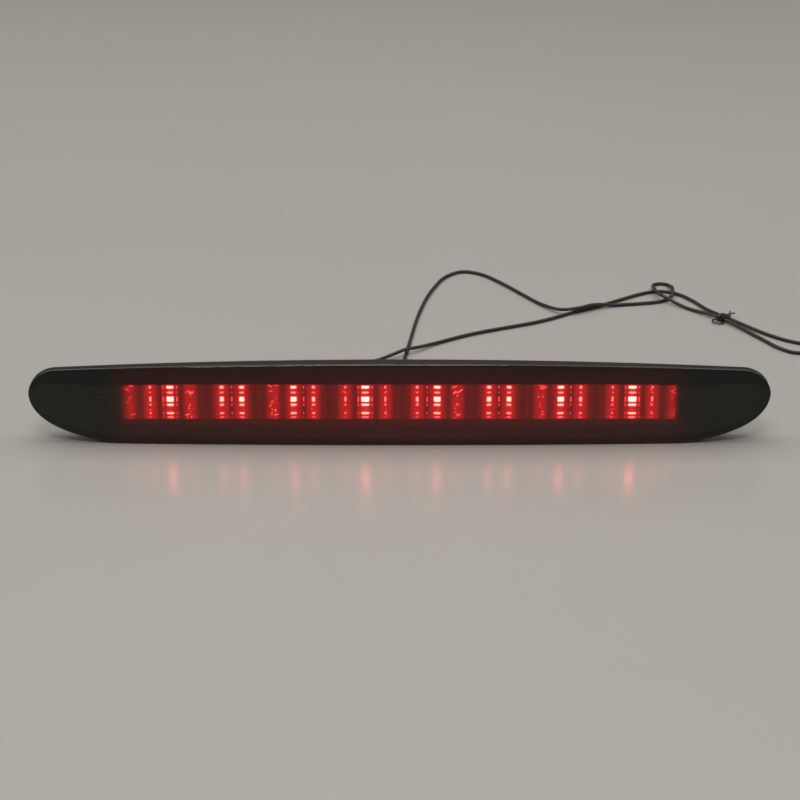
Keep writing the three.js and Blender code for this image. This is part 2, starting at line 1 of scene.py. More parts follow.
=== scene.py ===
"""Looks of the third brake light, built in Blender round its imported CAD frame.

Shapes are worked out in millimetres, as in the CAD, and scaled to metres when a mesh is made.
X runs along the lamp, the lens faces -Y and Z is up. A depth is measured rearwards from the
foremost point of the lens.
"""

import math
import random

import bmesh
import bpy
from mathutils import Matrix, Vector


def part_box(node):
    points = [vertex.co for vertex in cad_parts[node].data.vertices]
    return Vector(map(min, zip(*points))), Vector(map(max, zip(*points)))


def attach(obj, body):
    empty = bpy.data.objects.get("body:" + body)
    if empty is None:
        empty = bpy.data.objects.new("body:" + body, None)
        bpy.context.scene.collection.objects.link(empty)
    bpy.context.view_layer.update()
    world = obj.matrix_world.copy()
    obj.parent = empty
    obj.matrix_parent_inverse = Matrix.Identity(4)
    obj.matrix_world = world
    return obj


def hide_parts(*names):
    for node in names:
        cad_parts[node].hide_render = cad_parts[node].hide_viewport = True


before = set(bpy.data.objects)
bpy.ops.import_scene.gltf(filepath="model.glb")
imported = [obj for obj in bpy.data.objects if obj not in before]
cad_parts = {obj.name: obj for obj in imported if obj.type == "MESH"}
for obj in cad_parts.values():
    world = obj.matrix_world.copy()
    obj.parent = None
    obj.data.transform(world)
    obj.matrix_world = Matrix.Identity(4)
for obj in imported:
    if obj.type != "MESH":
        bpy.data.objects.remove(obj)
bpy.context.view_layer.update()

MM = 0.001


# ---------------------------------------------------------------- sizes from the frame

def box_mm(node):
    """Lowest and highest corner of a CAD node, in millimetres."""
    low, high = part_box(node)
    return Vector(low) / MM, Vector(high) / MM


def centre_of(node):
    """x, y and z of the middle of a CAD node's box."""
    return [(a + b) / 2 for a, b in zip(*box_mm(node))]


LENS_LOW, LENS_HIGH = box_mm("outer_lens")
FRONT_Y = LENS_LOW.y
LENS_DEPTH = LENS_HIGH.y - LENS_LOW.y
HALF_LENGTH = LENS_HIGH.x + 0.15      # the CAD tips are cut 0.15 mm short of the curve's end
HEIGHT = LENS_HIGH.z

# Outline of the lamp's front
TIP_HEIGHT = 25.5
CROWN = 4.0
CORNER_START = HALF_LENGTH - 14.5
SWEEP_START = HALF_LENGTH - 57.5
SWEEP_POWER = 2.15
TIP_FLAT = 0.03

# Face of the lens
LENS_WALL = 2.2
BOW = 4
FACE_LEAN = math.tan(math.radians(6))
BROW_LEAN = math.tan(math.radians(16))
BROW_SHARE = 0.77
TOP_FILLET = 1.3
BASE_FILLET = 0.8                 # both rounds are tighter than the CAD's, 3 and 2
FACE_START = 2                    # height where the face begins to lean back
TOP_DRAFT = 0.4

# Window in the bezel
WINDOW_HALF = 139.5
WINDOW_Z = (8.8, 30.4)


def depth_of(node):
    """First and last depth of a CAD node behind the front of the lens."""
    low, high = box_mm(node)
    return low.y - FRONT_Y, high.y - FRONT_Y


def corner_fall(along, length, power):
    """Share of full height left at a distance along a rounded corner."""
    share = min(max(along / length, 0), 1)
    return (1 - share ** power) ** (1 / power)


def top_edge(x, inset=0.0):
    """Height of the lamp's top edge at x, for an outline drawn inside it by inset."""
    a = abs(x)
    crown = HEIGHT - inset - CROWN * (min(a, CORNER_START) / CORNER_START) ** 2
    if a <= CORNER_START:
        return crown
    length = HALF_LENGTH - inset - CORNER_START
    return TIP_HEIGHT + (crown - TIP_HEIGHT) * corner_fall(a - CORNER_START, length, 2)


def base_edge(x, inset=0.0):
    """Height of the lamp's bottom edge at x, for the same outline."""
    a = abs(x)
    if a <= SWEEP_START:
        return inset
    fall = corner_fall(a - SWEEP_START, HALF_LENGTH - inset - SWEEP_START, SWEEP_POWER)
    return TIP_HEIGHT - (TIP_HEIGHT - inset) * fall


def crease_at(x):
    """Height of the crease under the brow at x."""
    base = base_edge(x)
    return base + BROW_SHARE * (top_edge(x) - base)


def face_depth(x, z):
    """Depth of the lens face at x and z."""
    crease = crease_at(x)
    lean = (min(z, crease) - FACE_START) * FACE_LEAN + max(z - crease, 0) * BROW_LEAN
    return BOW * (x / HALF_LENGTH) ** 2 + lean


def stations(inset, spans=44, turns=16, marks=()):
    """Places along X for the outline, dense round the corners, with any marked places added."""
    length = HALF_LENGTH - inset - CORNER_START
    half = [CORNER_START * i / spans for i in range(spans + 1)]
    half += [CORNER_START + length * math.sin(i / turns * math.pi / 2) for i in range(1, turns + 1)]
    half[-1] -= TIP_FLAT
    half = sorted(half + list(marks))
    return [-x for x in reversed(half[1:])] + half


def outline(inset, **spacing):
    """Points [x, z] round the lamp's outline, along the base and back along the top."""
    xs = stations(inset, **spacing)
    return [(x, base_edge(x, inset)) for x in xs] + [(x, top_edge(x, inset)) for x in reversed(xs)]


# ---------------------------------------------------------------- mesh helpers

def at(x, depth, z):
    """A point from x, depth and z in millimetres, in metres."""
    return Vector((x, FRONT_Y + depth, z)) * MM


def loop_of(bm, points, depth):
    """Vertices round an outline, at one depth or at depth(x, z)."""
    place = depth if callable(depth) else lambda x, z: depth
    return [bm.verts.new(at(x, place(x, z), z)) for x, z in points]


def bridge(bm, a, b, closed=True):
    """Quads between two rows of vertices."""
    count = len(a)
    for i in range(count if closed else count - 1):
        j = (i + 1) % count
        bm.faces.new((a[i], a[j], b[j], b[i]))


def sheet(bm, rows, closed=True):
    """Quads between each row of vertices and the next."""
    for a, b in zip(rows, rows[1:]):
        bridge(bm, a, b, closed)


def join_rings(bm, rings):
    """A skin over rings in order. A ring of one vertex closes it to a point."""
    for a, b in zip(rings, rings[1:]):
        if len(a) == 1 or len(b) == 1:
            tip, ring = (a[0], b) if len(a) == 1 else (b[0], a)
            for i in range(len(ring)):
                bm.faces.new((tip, ring[i], ring[(i + 1) % len(ring)]))
        else:
            bridge(bm, a, b)


def turn(sides, start=0.0):
    """Angles once round a circle, starting part of a step on."""
    return [2 * math.pi * (i + start) / sides for i in range(sides)]


def quarter_turn(steps):
    return [math.radians(90 * i / steps) for i in range(steps + 1)]


def piece(name, bm, material, body="root", replaces=(), sharp=35.0):
    """Turns a bmesh into a finished piece on a body. Edges over sharp degrees stay crisp."""
    bmesh.ops.remove_doubles(bm, verts=bm.verts, dist=1e-7)
    bmesh.ops.recalc_face_normals(bm, faces=bm.faces)
    mesh = bpy.data.meshes.new(name)
    bm.to_mesh(mesh)
    bm.free()
    mesh.polygons.foreach_set("use_smooth", [True] * len(mesh.polygons))
    mesh.set_sharp_from_angle(angle=math.radians(sharp))
    obj = bpy.data.objects.new(name, mesh)
    bpy.context.scene.collection.objects.link(obj)
    mesh.materials.append(material)
    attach(obj, body)
    if replaces:
        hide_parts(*replaces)
    return obj


def round_edges(obj, width, segments=3, angle=40.0):
    """Rounds a piece's hard edges by width millimetres."""
    bevel = obj.modifiers.new("round", "BEVEL")
    bevel.width = width * MM
    bevel.segments = segments
    bevel.limit_method = "ANGLE"
    bevel.angle_limit = math.radians(angle)
    bevel.harden_normals = True
    return obj


def lathe(bm, profile, x, z, sides=48):
    """Turns [radius, depth] points about an axis along Y at x, z. Ends on the axis are closed."""
    rings = []
    for radius, depth in profile:
        angles = turn(sides) if radius > 1e-6 else [0.0]
        rings.append([bm.verts.new(at(x + radius * math.cos(a), depth, z + radius * math.sin(a)))
                      for a in angles])
    join_rings(bm, rings)


def block_faces(bm, places):
    """A block from its eight corners, for rounding later."""
    corners = [bm.verts.new(place) for place in places]
    for quad in ((0, 1, 3, 2), (4, 6, 7, 5), (0, 4, 5, 1), (2, 3, 7, 6), (0, 2, 6, 4), (1, 5, 7, 3)):
        bm.faces.new([corners[i] for i in quad])


def rounded_block(name, xs, depths, zs, mat, width, segments=3):
    """A block as a finished piece on the root body, its edges rounded by width."""
    bm = bmesh.new()
    block_faces(bm, [at(x, d, z) for d in depths for z in zs for x in xs])
    return round_edges(piece(name, bm, mat), width, segments)


# ---------------------------------------------------------------- material helpers

def material(name, **values):
    """A new Principled material, its constant values set on the shader's own sockets."""
    mat = bpy.data.materials.new(name)
    mat.use_nodes = True
    shader = mat.node_tree.nodes["Principled BSDF"]
    for key, value in values.items():
        shader.inputs[key.replace("_", " ")].default_value = value
    return mat


def node(mat, kind, links=(), **settings):
    """A node with its settings, and links as {input: socket}."""
    made = mat.node_tree.nodes.new(kind)
    for key, value in settings.items():
        if key in made.bl_rna.properties:
            setattr(made, key, value)
        else:
            made.inputs[key.replace("_", " ")].default_value = value
    for key, socket in dict(links).items():
        mat.node_tree.links.new(socket, made.inputs[key])
    return made


def wire_to(mat, socket, name):
    shader = mat.node_tree.nodes["Principled BSDF"]
    mat.node_tree.links.new(socket, shader.inputs[name])


def object_space(mat):
    return node(mat, "ShaderNodeTexCoord").outputs["Object"]


def noise(mat, scale, detail=4.0, roughness=0.55, vector=None):
    """Noise in object space. Scale is in cycles per metre."""
    links = {"Vector": vector or object_space(mat)}
    made = node(mat, "ShaderNodeTexNoise", links, Scale=scale, Detail=detail, Roughness=roughness)
    return made.outputs["Fac"]


def ramp(mat, socket, stops):
    """A colour ramp over (position, colour) stops."""
    made = node(mat, "ShaderNodeValToRGB", {"Fac": socket})
    elements = made.color_ramp.elements
    while len(elements) < len(stops):
        elements.new(0.5)
    for element, (position, colour) in zip(elements, stops):
        element.position = position
        element.color = (*colour, 1.0)
    return made.outputs["Color"]


def spread(mat, socket, low, high):
    """Maps 0.3 to 0.7 of a noise onto low to high."""
    made = node(mat, "ShaderNodeMapRange", {"Value": socket})
    for index, value in ((1, 0.3), (2, 0.7), (3, low), (4, high)):
        made.inputs[index].default_value = value
    return made.outputs["Result"]


def bump(mat, height, distance, strength=1.0):
    """Bump of a real height in millimetres."""
    made = node(mat, "ShaderNodeBump", {"Height": height}, Strength=strength, Distance=distance * MM)
    wire_to(mat, made.outputs["Normal"], "Normal")


def stretched(mat, x, y, z):
    """Object space scaled along each axis."""
    made = node(mat, "ShaderNodeMapping", {"Vector": object_space(mat)})
    made.inputs["Scale"].default_value = (x, y, z)
    return made.outputs["Vector"]


def attribute(mat, name):
    return node(mat, "ShaderNodeAttribute", attribute_name=name).outputs["Fac"]


def two_tone(mat, cloud, dark, light, low=0.3, high=0.7):
    """A colour that drifts between two tones with a noise."""
    wire_to(mat, ramp(mat, cloud, [(low, dark), (high, light)]), "Base Color")


def sheen(mat, cloud, low, high):
    """A roughness that drifts between two values with a noise."""
    wire_to(mat, spread(mat, cloud, low, high), "Roughness")


def clouded(name, scale, dark, light, roughness, detail=4, **values):
    """A material whose colour and roughness drift together."""
    mat = material(name, **values)
    cloud = noise(mat, scale, detail)
    two_tone(mat, cloud, dark, light)
    sheen(mat, cloud, *roughness)
    return mat


def banded(name, stops, roughness):
    """A small turned part with bands of colour along its length."""
    mat = material(name, IOR=1.5)
    place = node(mat, "ShaderNodeTexCoord").outputs["Generated"]
    along = node(mat, "ShaderNodeSeparateXYZ", {"Vector": place}).outputs["X"]
    bands = ramp(mat, along, stops)
    bands.node.color_ramp.interpolation = "CONSTANT"
    wire_to(mat, bands, "Base Color")
    sheen(mat, noise(mat, 1500, 3), *roughness)
    return mat


def moulded(name, dark, light, rough, grain, depth):
    """Moulded plastic: a colour that drifts a little, uneven sheen and a fine grain."""
    mat = material(name)
    two_tone(mat, noise(mat, 60, 3), dark, light, 0.35, 0.65)
    sheen(mat, noise(mat, 140, 5), rough - 0.06, rough + 0.06)
    bump(mat, noise(mat, grain, 6, 0.6), depth)
    return mat


# ---------------------------------------------------------------- materials

def smoked_lens():
    """Polished smoked acrylic, with faint flow ripples. A painted red glow near the window stands in for the
    red light it scatters.

    The wall attribute is 1 on the lens's side walls, which are masked black and let nothing through."""
    mat = material("lens_smoked", IOR=1.49, Emission_Strength=1.0)
    wire_to(mat, ramp(mat, attribute(mat, "wall"), [(0.0, (0.62,) * 3), (1.0, (1.0,) * 3)]), "Alpha")
    two_tone(mat, noise(mat, 14, 2), (0.018, 0.020, 0.0155), (0.023, 0.025, 0.0195))
    sheen(mat, noise(mat, 900, 3, vector=stretched(mat, 0.12, 1, 1)), 0.045, 0.085)
    # Painted glow: red emission on the lens near the window, standing in for LED light scattered in the
    # acrylic.
    painted_glow = ramp(mat, attribute(mat, "painted_glow"), [(0.0, (0, 0, 0)), (1.0, (0.030, 0.0, 0.0))])
    wire_to(mat, painted_glow, "Emission Color")
    bump(mat, noise(mat, 45, 1), 0.012)
    return mat


def black_housing():
    return moulded("housing_black", (0.014, 0.014, 0.015), (0.024, 0.024, 0.025), 0.52, 2600, 0.035)


def satin_black():
    return moulded("bezel_black", (0.008, 0.008, 0.008), (0.013, 0.012, 0.012), 0.62, 1800, 0.012)


def lit_optic():
    """Clear red plastic with light coming through it. The glow attribute is the light's strength."""
    mat = clouded("optic_red", 220, (0.15, 0.006, 0.007), (0.20, 0.009, 0.010), (0.10, 0.22),
                  IOR=1.49, Emission_Strength=80.0)
    stops = [
        (0.00, (0.0006, 0.0, 0.0)),
        (0.10, (0.010, 0.0001, 0.0001)),
        (0.25, (0.042, 0.0004, 0.0007)),
        (0.50, (0.11, 0.0045, 0.0050)),
        (0.75, (0.24, 0.0340, 0.0280)),
        (1.00, (1.00, 0.1300, 0.0850)),
    ]
    wire_to(mat, ramp(mat, attribute(mat, "glow"), stops), "Emission Color")
    return mat


def wire_cover():
    """Black PVC insulation, softly shiny, with the faint ripple of extrusion."""
    return moulded("wire_pvc", (0.012, 0.012, 0.013), (0.024, 0.024, 0.025), 0.42, 900, 0.02)


# ---------------------------------------------------------------- camera, light and stage

CAMERA_ELEVATION = 22.0
CAMERA_DISTANCE = 1000.0
CAMERA_TARGET = Vector((0.25, FRONT_Y + 8.6, 21.05))


def add_camera():
    lift = math.radians(CAMERA_ELEVATION)
    back = Vector((0, -math.cos(lift), math.sin(lift)))
    camera = bpy.data.objects.new("camera", bpy.data.cameras.new("camera"))
    camera.data.lens = 90
    camera.data.sensor_width = 36
    camera.data.clip_start = 0.05
    camera.data.clip_end = 20
    camera.location = (CAMERA_TARGET + back * CAMERA_DISTANCE) * MM
    camera.rotation_mode = "QUATERNION"
    camera.rotation_quaternion = back.to_track_quat("Z", "Y")
    bpy.context.scene.collection.objects.link(camera)
    bpy.context.scene.camera = camera


def add_light(name, place, target, size, power, colour):
    light = bpy.data.lights.new(name, "AREA")
    light.shape = "RECTANGLE"
    light.size, light.size_y = size
    light.energy = power
    light.color = colour
    obj = bpy.data.objects.new(name, light)
    obj.location = place
    obj.rotation_mode = "QUATERNION"
    obj.rotation_quaternion = (Vector(place) - Vector(target)).to_track_quat("Z", "Y")
    bpy.context.scene.collection.objects.link(obj)


def add_lights():
    white = (1.0, 0.985, 0.955)
    for name, side, power in (("left", -1, 16), ("right", 1, 12.5)):
        add_light(f"overhead_{name}", (side * 0.95, 0.5, 1.7), (side * 0.6, 0.35, 0), (1.1, 2.2), power,
                  white)
    add_light("front_fill", (-0.1, -0.95, 1.5), (-0.05, -0.55, 0), (0.6, 0.5), 9, (1.0, 0.955, 0.91))
    add_light("back_wash", (-0.1, 1.35, 1.9), (-0.1, 1.1, 0), (2.2, 0.6), 8, white)
    world = bpy.data.worlds.new("studio")
    world.use_nodes = True
    nodes = world.node_tree.nodes
    links = world.node_tree.links
    seen = nodes.new("ShaderNodeBackground")
    seen.inputs["Color"].default_value = (0.36, 0.34, 0.30, 1)
    room = nodes["Background"]
    room.inputs["Color"].default_value = (0.165, 0.165, 0.16, 1)
    mix = nodes.new("ShaderNodeMixShader")
    links.new(nodes.new("ShaderNodeLightPath").outputs["Is Camera Ray"], mix.inputs[0])
    links.new(room.outputs[0], mix.inputs[1])
    links.new(seen.outputs[0], mix.inputs[2])
    links.new(mix.outputs[0], nodes["World Output"].inputs["Surface"])
    bpy.context.scene.world = world
    bpy.context.scene.view_settings.view_transform = "Standard"


def add_floor():
    mat = material("floor", IOR=1.6)
    two_tone(mat, noise(mat, 2.2, 3), (0.445, 0.425, 0.395), (0.46, 0.44, 0.41))
    sheen(mat, noise(mat, 40, 4), 0.20, 0.22)
    half = 4.0
    mesh = bpy.data.meshes.new("floor")
    mesh.from_pydata([(-half, -half, 0), (half, -half, 0), (half, half, 0), (-half, half, 0)], [],
                     [(0, 1, 2, 3)])
    mesh.materials.append(mat)
    floor = bpy.data.objects.new("floor", mesh)
    bpy.context.scene.collection.objects.link(floor)


# ---------------------------------------------------------------- leads

# The routes of the CAD leads, in metres: out of the grommet, down behind the lamp, across each
# other, side by side, apart again, through the tie and into the plug.
LEAD_POSITIVE = [
    (0.003, 0.0174, 0.016), (0.003, 0.023, 0.0158), (0.003, 0.03, 0.0115), (0.0027, 0.036, 0.0056),
    (0.0024, 0.042, 0.0022), (0.002, 0.05, 0.00125), (0.0006, 0.074, 0.00112), (0.006, 0.13, 0.0011),
    (0.012, 0.18, 0.0011), (0.02, 0.22, 0.0011), (0.0295, 0.246, 0.0011), (0.0395, 0.255, 0.0011),
    (0.0505, 0.25, 0.0011), (0.063, 0.232, 0.0011), (0.075, 0.21, 0.0011), (0.0845, 0.193, 0.0012),
    (0.0945, 0.1796, 0.0026), (0.1, 0.1776, 0.0034), (0.107, 0.1803, 0.0035), (0.114, 0.1849, 0.0035),
    (0.12, 0.1883, 0.0027), (0.126, 0.1908, 0.0013), (0.134, 0.1926, 0.0011), (0.153, 0.1968, 0.0011),
    (0.1596, 0.2006, 0.00115), (0.1638, 0.206, 0.0019), (0.1655, 0.212, 0.0034),
    (0.1658, 0.218, 0.0033), (0.1654, 0.2256, 0.0016), (0.1638, 0.2297, 0.0012),
    (0.1602, 0.2313, 0.0011), (0.1566, 0.2297, 0.0012), (0.155, 0.2256, 0.0017),
    (0.1546, 0.218, 0.0034), (0.155, 0.211, 0.0036), (0.1564, 0.204, 0.0037), (0.1594, 0.1988, 0.0036),
    (0.1646, 0.1932, 0.0021), (0.1715, 0.1856, 0.0011), (0.185, 0.1694, 0.0022),
    (0.1906, 0.1622, 0.002), (0.2055, 0.135, 0.0011), (0.2135, 0.119, 0.0011), (0.221, 0.1115, 0.0011),
    (0.23, 0.112, 0.0011), (0.238, 0.1176, 0.0019), (0.2451, 0.1249, 0.003),
]
LEAD_NEGATIVE = [
    (-0.003, 0.0174, 0.016), (-0.0034, 0.023, 0.0158), (-0.006, 0.03, 0.0115),
    (-0.0105, 0.0364, 0.0056), (-0.0165, 0.0414, 0.0022), (-0.025, 0.0454, 0.0012),
    (-0.038, 0.05, 0.0011), (-0.05, 0.0576, 0.0011), (-0.055, 0.068, 0.0011), (-0.0516, 0.0786, 0.0011),
    (-0.041, 0.0864, 0.0011), (-0.026, 0.0924, 0.0011), (-0.013, 0.0984, 0.0012),
    (-0.004, 0.104, 0.0026), (0.003, 0.1094, 0.0036), (0.01, 0.116, 0.0024), (0.021, 0.1264, 0.00125),
    (0.04, 0.1406, 0.00112), (0.059, 0.151, 0.0011), (0.078, 0.1606, 0.0011), (0.088, 0.1672, 0.0011),
    (0.095, 0.1728, 0.0011), (0.1005, 0.1772, 0.0011), (0.107, 0.1816, 0.0011), (0.114, 0.1864, 0.0011),
    (0.121, 0.1918, 0.0011), (0.134, 0.2024, 0.0011), (0.143, 0.2098, 0.0011), (0.152, 0.2154, 0.0011),
    (0.161, 0.2166, 0.0011), (0.169, 0.2112, 0.0011), (0.176, 0.1992, 0.0011), (0.1818, 0.1844, 0.0012),
    (0.1876, 0.1714, 0.0022), (0.1932, 0.164, 0.002), (0.21, 0.142, 0.0011), (0.219, 0.132, 0.0011),
    (0.228, 0.126, 0.0011), (0.2355, 0.1234, 0.0019), (0.2424, 0.1276, 0.003),
]
WIRE_DIAMETER = 0.002


def smooth_route(points, per_span=8):
    """A centripetal Catmull-Rom curve through the points."""
    p = [Vector(q) for q in points]
    p = [2 * p[0] - p[1], *p, 2 * p[-1] - p[-2]]
    route = []
    for a, b, c, d in zip(p, p[1:], p[2:], p[3:]):
        t1 = math.sqrt((b - a).length)
        t2 = t1 + math.sqrt((c - b).length)
        t3 = t2 + math.sqrt((d - c).length)
        for i in range(per_span):
            t = t1 + (t2 - t1) * i / per_span
            ab = a * ((t1 - t) / t1) + b * (t / t1)
            bc = b * ((t2 - t) / (t2 - t1)) + c * ((t - t1) / (t2 - t1))
            cd = c * ((t3 - t) / (t3 - t2)) + d * ((t - t2) / (t3 - t2))
            abc = ab * ((t2 - t) / t2) + bc * (t / t2)
            bcd = bc * ((t3 - t) / (t3 - t1)) + cd * ((t - t1) / (t3 - t1))
            route.append(abc * ((t2 - t) / (t2 - t1)) + bcd * ((t - t1) / (t2 - t1)))
    route.append(p[-2])
    return route


def tube(name, route, radius, mat, replaces=(), sides=5):
    """A round open curve through a route in metres, as a piece on the root body."""
    curve = bpy.data.curves.new(name, "CURVE")
    curve.dimensions = "3D"
    curve.bevel_depth = radius * MM
    curve.bevel_resolution = sides
    curve.use_fill_caps = True
    spline = curve.splines.new("POLY")
    spline.points.add(len(route) - 1)
    for point, place in zip(spline.points, route):
        point.co = (*place, 1.0)
    spline.use_smooth = True
    curve.materials.append(mat)
    obj = bpy.data.objects.new(name, curve)
    bpy.context.scene.collection.objects.link(obj)
    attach(obj, "root")
    if replaces:
        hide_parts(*replaces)
    return obj


def add_lead(name, points, mat):
    """A lead as a round curve along its route, and the curve's length."""
    route = smooth_route(points)
    wire = tube(name + "_wire", route, WIRE_DIAMETER / 2 / MM, mat, [name])
    return wire, sum((b - a).length for a, b in zip(route, route[1:]))


# ---------------------------------------------------------------- dished shells

def quarter(centre, radius, start, end, turns=8):
    """(depth, z) points of an arc about a centre."""
    angles = [start + (end - start) * i / turns for i in range(turns + 1)]
    return [(centre[0] + radius * math.cos(a), centre[1] + radius * math.sin(a)) for a in angles]


def section_levels(x, inset, rounding):
    """Heights where a dish section's face ends at the top, creases and ends at the base."""
    top, base = top_edge(x, inset), base_edge(x, inset)
    height = top - base
    top_radius = min(TOP_FILLET * rounding, 0.16 * height)
    top_z = top - min(TOP_DRAFT, 0.04 * height) - top_radius
    base_z = base + min(BASE_FILLET * rounding, 0.16 * height)
    return top_z, min(crease_at(x), top_z - 0.04 * height), base_z


def dish_section(x, inset, setback, rear, rounding=1.0, shares=(0.2, 0.4, 0.6, 0.8)):
    """(depth, z) points of a dished shell at x, from the rear top round to the rear base.

    The shares place rows between the crease and the base of the face."""
    top, base = top_edge(x, inset), base_edge(x, inset)
    top_z, crease, base_z = section_levels(x, inset, rounding)
    top_radius = min(TOP_FILLET * rounding, 0.16 * (top - base))
    base_radius = base_z - base
    soft = min(0.4, 0.1 * (top_z - crease))

    def face(z):
        return setback + face_depth(x, z)

    blend = face(crease) + 0.25 * soft * (BROW_LEAN - FACE_LEAN)
    crown = quarter((face(top_z) + top_radius, top_z), top_radius, math.pi / 2, math.pi)
    brow = [top_z + (crease + soft - top_z) * share for share in (0.1, 0.4, 0.7, 1)]
    front = [crease - soft] + [crease - soft + (base_z - crease + soft) * share for share in shares]
    foot = quarter((face(base_z) + base_radius, base_z), base_radius, math.pi, math.pi * 1.5)
    return [(rear, top), (rear - 0.3, top), *crown, *((face(z), z) for z in brow), (blend, crease),
            *((face(z), z) for z in front), *foot, (rear - 0.3, base), (rear, base)]


def add_skin(bm, xs, section_at, skip=lambda i, j: False):
    """Rows of vertices, one for each station, the quads between them and flat ends."""
    rings = [[bm.verts.new(at(x, depth, z)) for depth, z in section_at(x)] for x in xs]
    for i, (a, b) in enumerate(zip(rings, rings[1:])):
        for j in range(len(a) - 1):
            if not skip(i, j):
                bm.faces.new((a[j], a[j + 1], b[j + 1], b[j]))
    bm.faces.new(rings[0])
    bm.faces.new(rings[-1])
    return rings


def add_rim(bm, outer, inner):
    """The flat rear rim that joins two skins."""
    for k in (0, -1):
        bridge(bm, [ring[k] for ring in outer], [ring[k] for ring in inner], closed=False)
    for end in (0, -1):
        bm.faces.new((outer[end][0], outer[end][-1], inner[end][-1], inner[end][0]))


def add_lens(mat):
    """The smoked lens. It stores a painted red glow, standing in for the red light that it scatters, and its
    black sides as wall.
    """
    bm = bmesh.new()
    outer = add_skin(bm, stations(0), lambda x: dish_section(x, 0, 0, LENS_DEPTH))
    inner = add_skin(bm, stations(LENS_WALL),
                     lambda x: dish_section(x, LENS_WALL, LENS_WALL, LENS_DEPTH, 0.5))
    add_rim(bm, outer, inner)
    lens = piece("lens_shell", bm, mat, replaces=["outer_lens"])
    # Painted glow: brightest at the middle of the window, fading towards its ends and beyond its edges;
    # stands in for scattered LED light.
    painted_glow = lens.data.attributes.new("painted_glow", "FLOAT", "POINT")
    wall = lens.data.attributes.new("wall", "FLOAT", "POINT")
    low, high = (z / 1000 for z in WINDOW_Z)
    for i, vertex in enumerate(lens.data.vertices):
        x, z = vertex.co.x, vertex.co.z
        past_end = max(abs(x) - WINDOW_HALF * MM, 0)
        past_side = max(z - high, low - z, 0)
        middle = 1 - 0.5 * (x / (WINDOW_HALF * MM)) ** 2
        painted_glow.data[i].value = max(middle, 0) * math.exp(-(past_end / 0.0045) ** 2 - (past_side / 0.009) ** 2)
        to_edge = min(top_edge(x / MM) - z / MM, z / MM - base_edge(x / MM))
        wall.data[i].value = 1.0 if to_edge < 0.5 else 0.0


MARK_X = -151.0
MARK_Z = 21.5
MARK_RADIUS = 3.3


def add_mark(mat):
    """A plain raised ring with a short bar over it, in black on the lens face."""
    bm = bmesh.new()
    rise = 0.3

    def ring_point(radius, angle, lift):
        x, z = MARK_X + radius * math.cos(angle), MARK_Z + radius * math.sin(angle)
        return bm.verts.new(at(x, face_depth(x, z) - lift, z))

    sides = 48
    profile = [(-0.6, -0.1), (-0.6, 0.12), (-0.35, rise), (0.35, rise), (0.6, 0.12), (0.6, -0.1)]
    loops = [[ring_point(MARK_RADIUS + r, 2 * math.pi * i / sides, lift) for i in range(sides)]
             for r, lift in profile]
    sheet(bm, [*loops, loops[0]])
    half, low, high = 2.6, MARK_Z + 4.4, MARK_Z + 5.3
    steps = 12
    sections = []
    for i in range(steps + 1):
        x = MARK_X + half * (2 * i / steps - 1)
        taper = 0.35 if i in (0, steps) else 1.0
        points = [(low, -0.1), (low, 0.5 * rise), (low + 0.2, rise * taper), (high - 0.2, rise * taper),
                  (high, 0.5 * rise), (high, -0.1)]
        sections.append([bm.verts.new(at(x, face_depth(x, z) - lift, z)) for z, lift in points])
    sheet(bm, sections)
    bm.faces.new(sections[0])
    bm.faces.new(sections[-1])
    piece("lens_mark", bm, mat)


def window_shares(x, inset, rounding):
    """Shares that put rows on the window's edges, and keep their spread beyond its ends."""
    held = max(-WINDOW_HALF, min(WINDOW_HALF, x))
    top_z, crease, base_z = section_levels(held, inset, rounding)
    soft = min(0.4, 0.1 * (top_z - crease))
    span = base_z - (crease - soft)
    high = min(WINDOW_Z[1], crease - soft - 0.3)
    edges = [(high - (crease - soft)) / span, (WINDOW_Z[0] - (crease - soft)) / span]
    middle = [edges[0] + (edges[1] - edges[0]) * share for share in (0.25, 0.5, 0.75)]
    return [edges[0], *middle, edges[1], 0.5 * (edges[1] + 1)]


POINTS_BELOW_FACE = 11             # nine round the foot of a section and two on its rim


def add_bezel(mat):
    """The black mask behind the lens, with its long window."""
    rear = depth_of("bezel")[1]
    inset, setback, wall = 2.7, 2.8, 1.2
    specs = ((inset, setback, 0.3), (inset + wall, setback + wall, 0.2))
    first_row = len(dish_section(0, inset, setback, rear, 0.3, shares=())) - POINTS_BELOW_FACE
    last_row = first_row + 4
    bm = bmesh.new()
    skins = []
    for inset, setback, rounding in specs:
        xs = stations(inset)
        first, last = (min(range(len(xs)), key=lambda i: abs(xs[i] - end))
                       for end in (-WINDOW_HALF, WINDOW_HALF))

        def section(x, spec=(inset, setback, rounding)):
            shares = window_shares(x, spec[0], spec[2])
            return dish_section(x, spec[0], spec[1], rear, spec[2], shares)

        skins.append(add_skin(bm, xs, section,
                              lambda i, j: first <= i < last and first_row <= j < last_row))
    add_rim(bm, *skins)
    outer, inner = skins
    for row in (first_row, last_row):
        bridge(bm, [ring[row] for ring in outer[first:last + 1]],
               [ring[row] for ring in inner[first:last + 1]], closed=False)
    for column in (first, last):
        bridge(bm, outer[column][first_row:last_row + 1], inner[column][first_row:last_row + 1],
               closed=False)
    piece("bezel_mask", bm, mat, replaces=["bezel"])


# ---------------------------------------------------------------- lit optic

LED_X = [centre_of(f"led_{i}")[0] for i in range(1, 9)]
OPTIC_LOW, OPTIC_HIGH = box_mm("inner_optic")
OPTIC_SETBACK = 4.4
OPTIC_THICK = 1.6
CELL_PITCH = 12.14                 # the optic's lens cells, a pitch of their own
CELL_FIRST = -126.4
FLUTE = CELL_PITCH / 3
LIT_Z = (10.7, 28.4)
THIN = 0.28                        # half width of the narrow bars beside the columns
ROWS = [                           # height, half height and brightness of each band of lenses
    (27.0, 0.80, 0.90),
    (24.3, 0.55, 0.70),
    (20.9, 1.40, 1.00),
    (18.0, 0.70, 0.82),
    (13.7, 0.62, 0.82),
    (11.6, 0.40, 0.62),
]


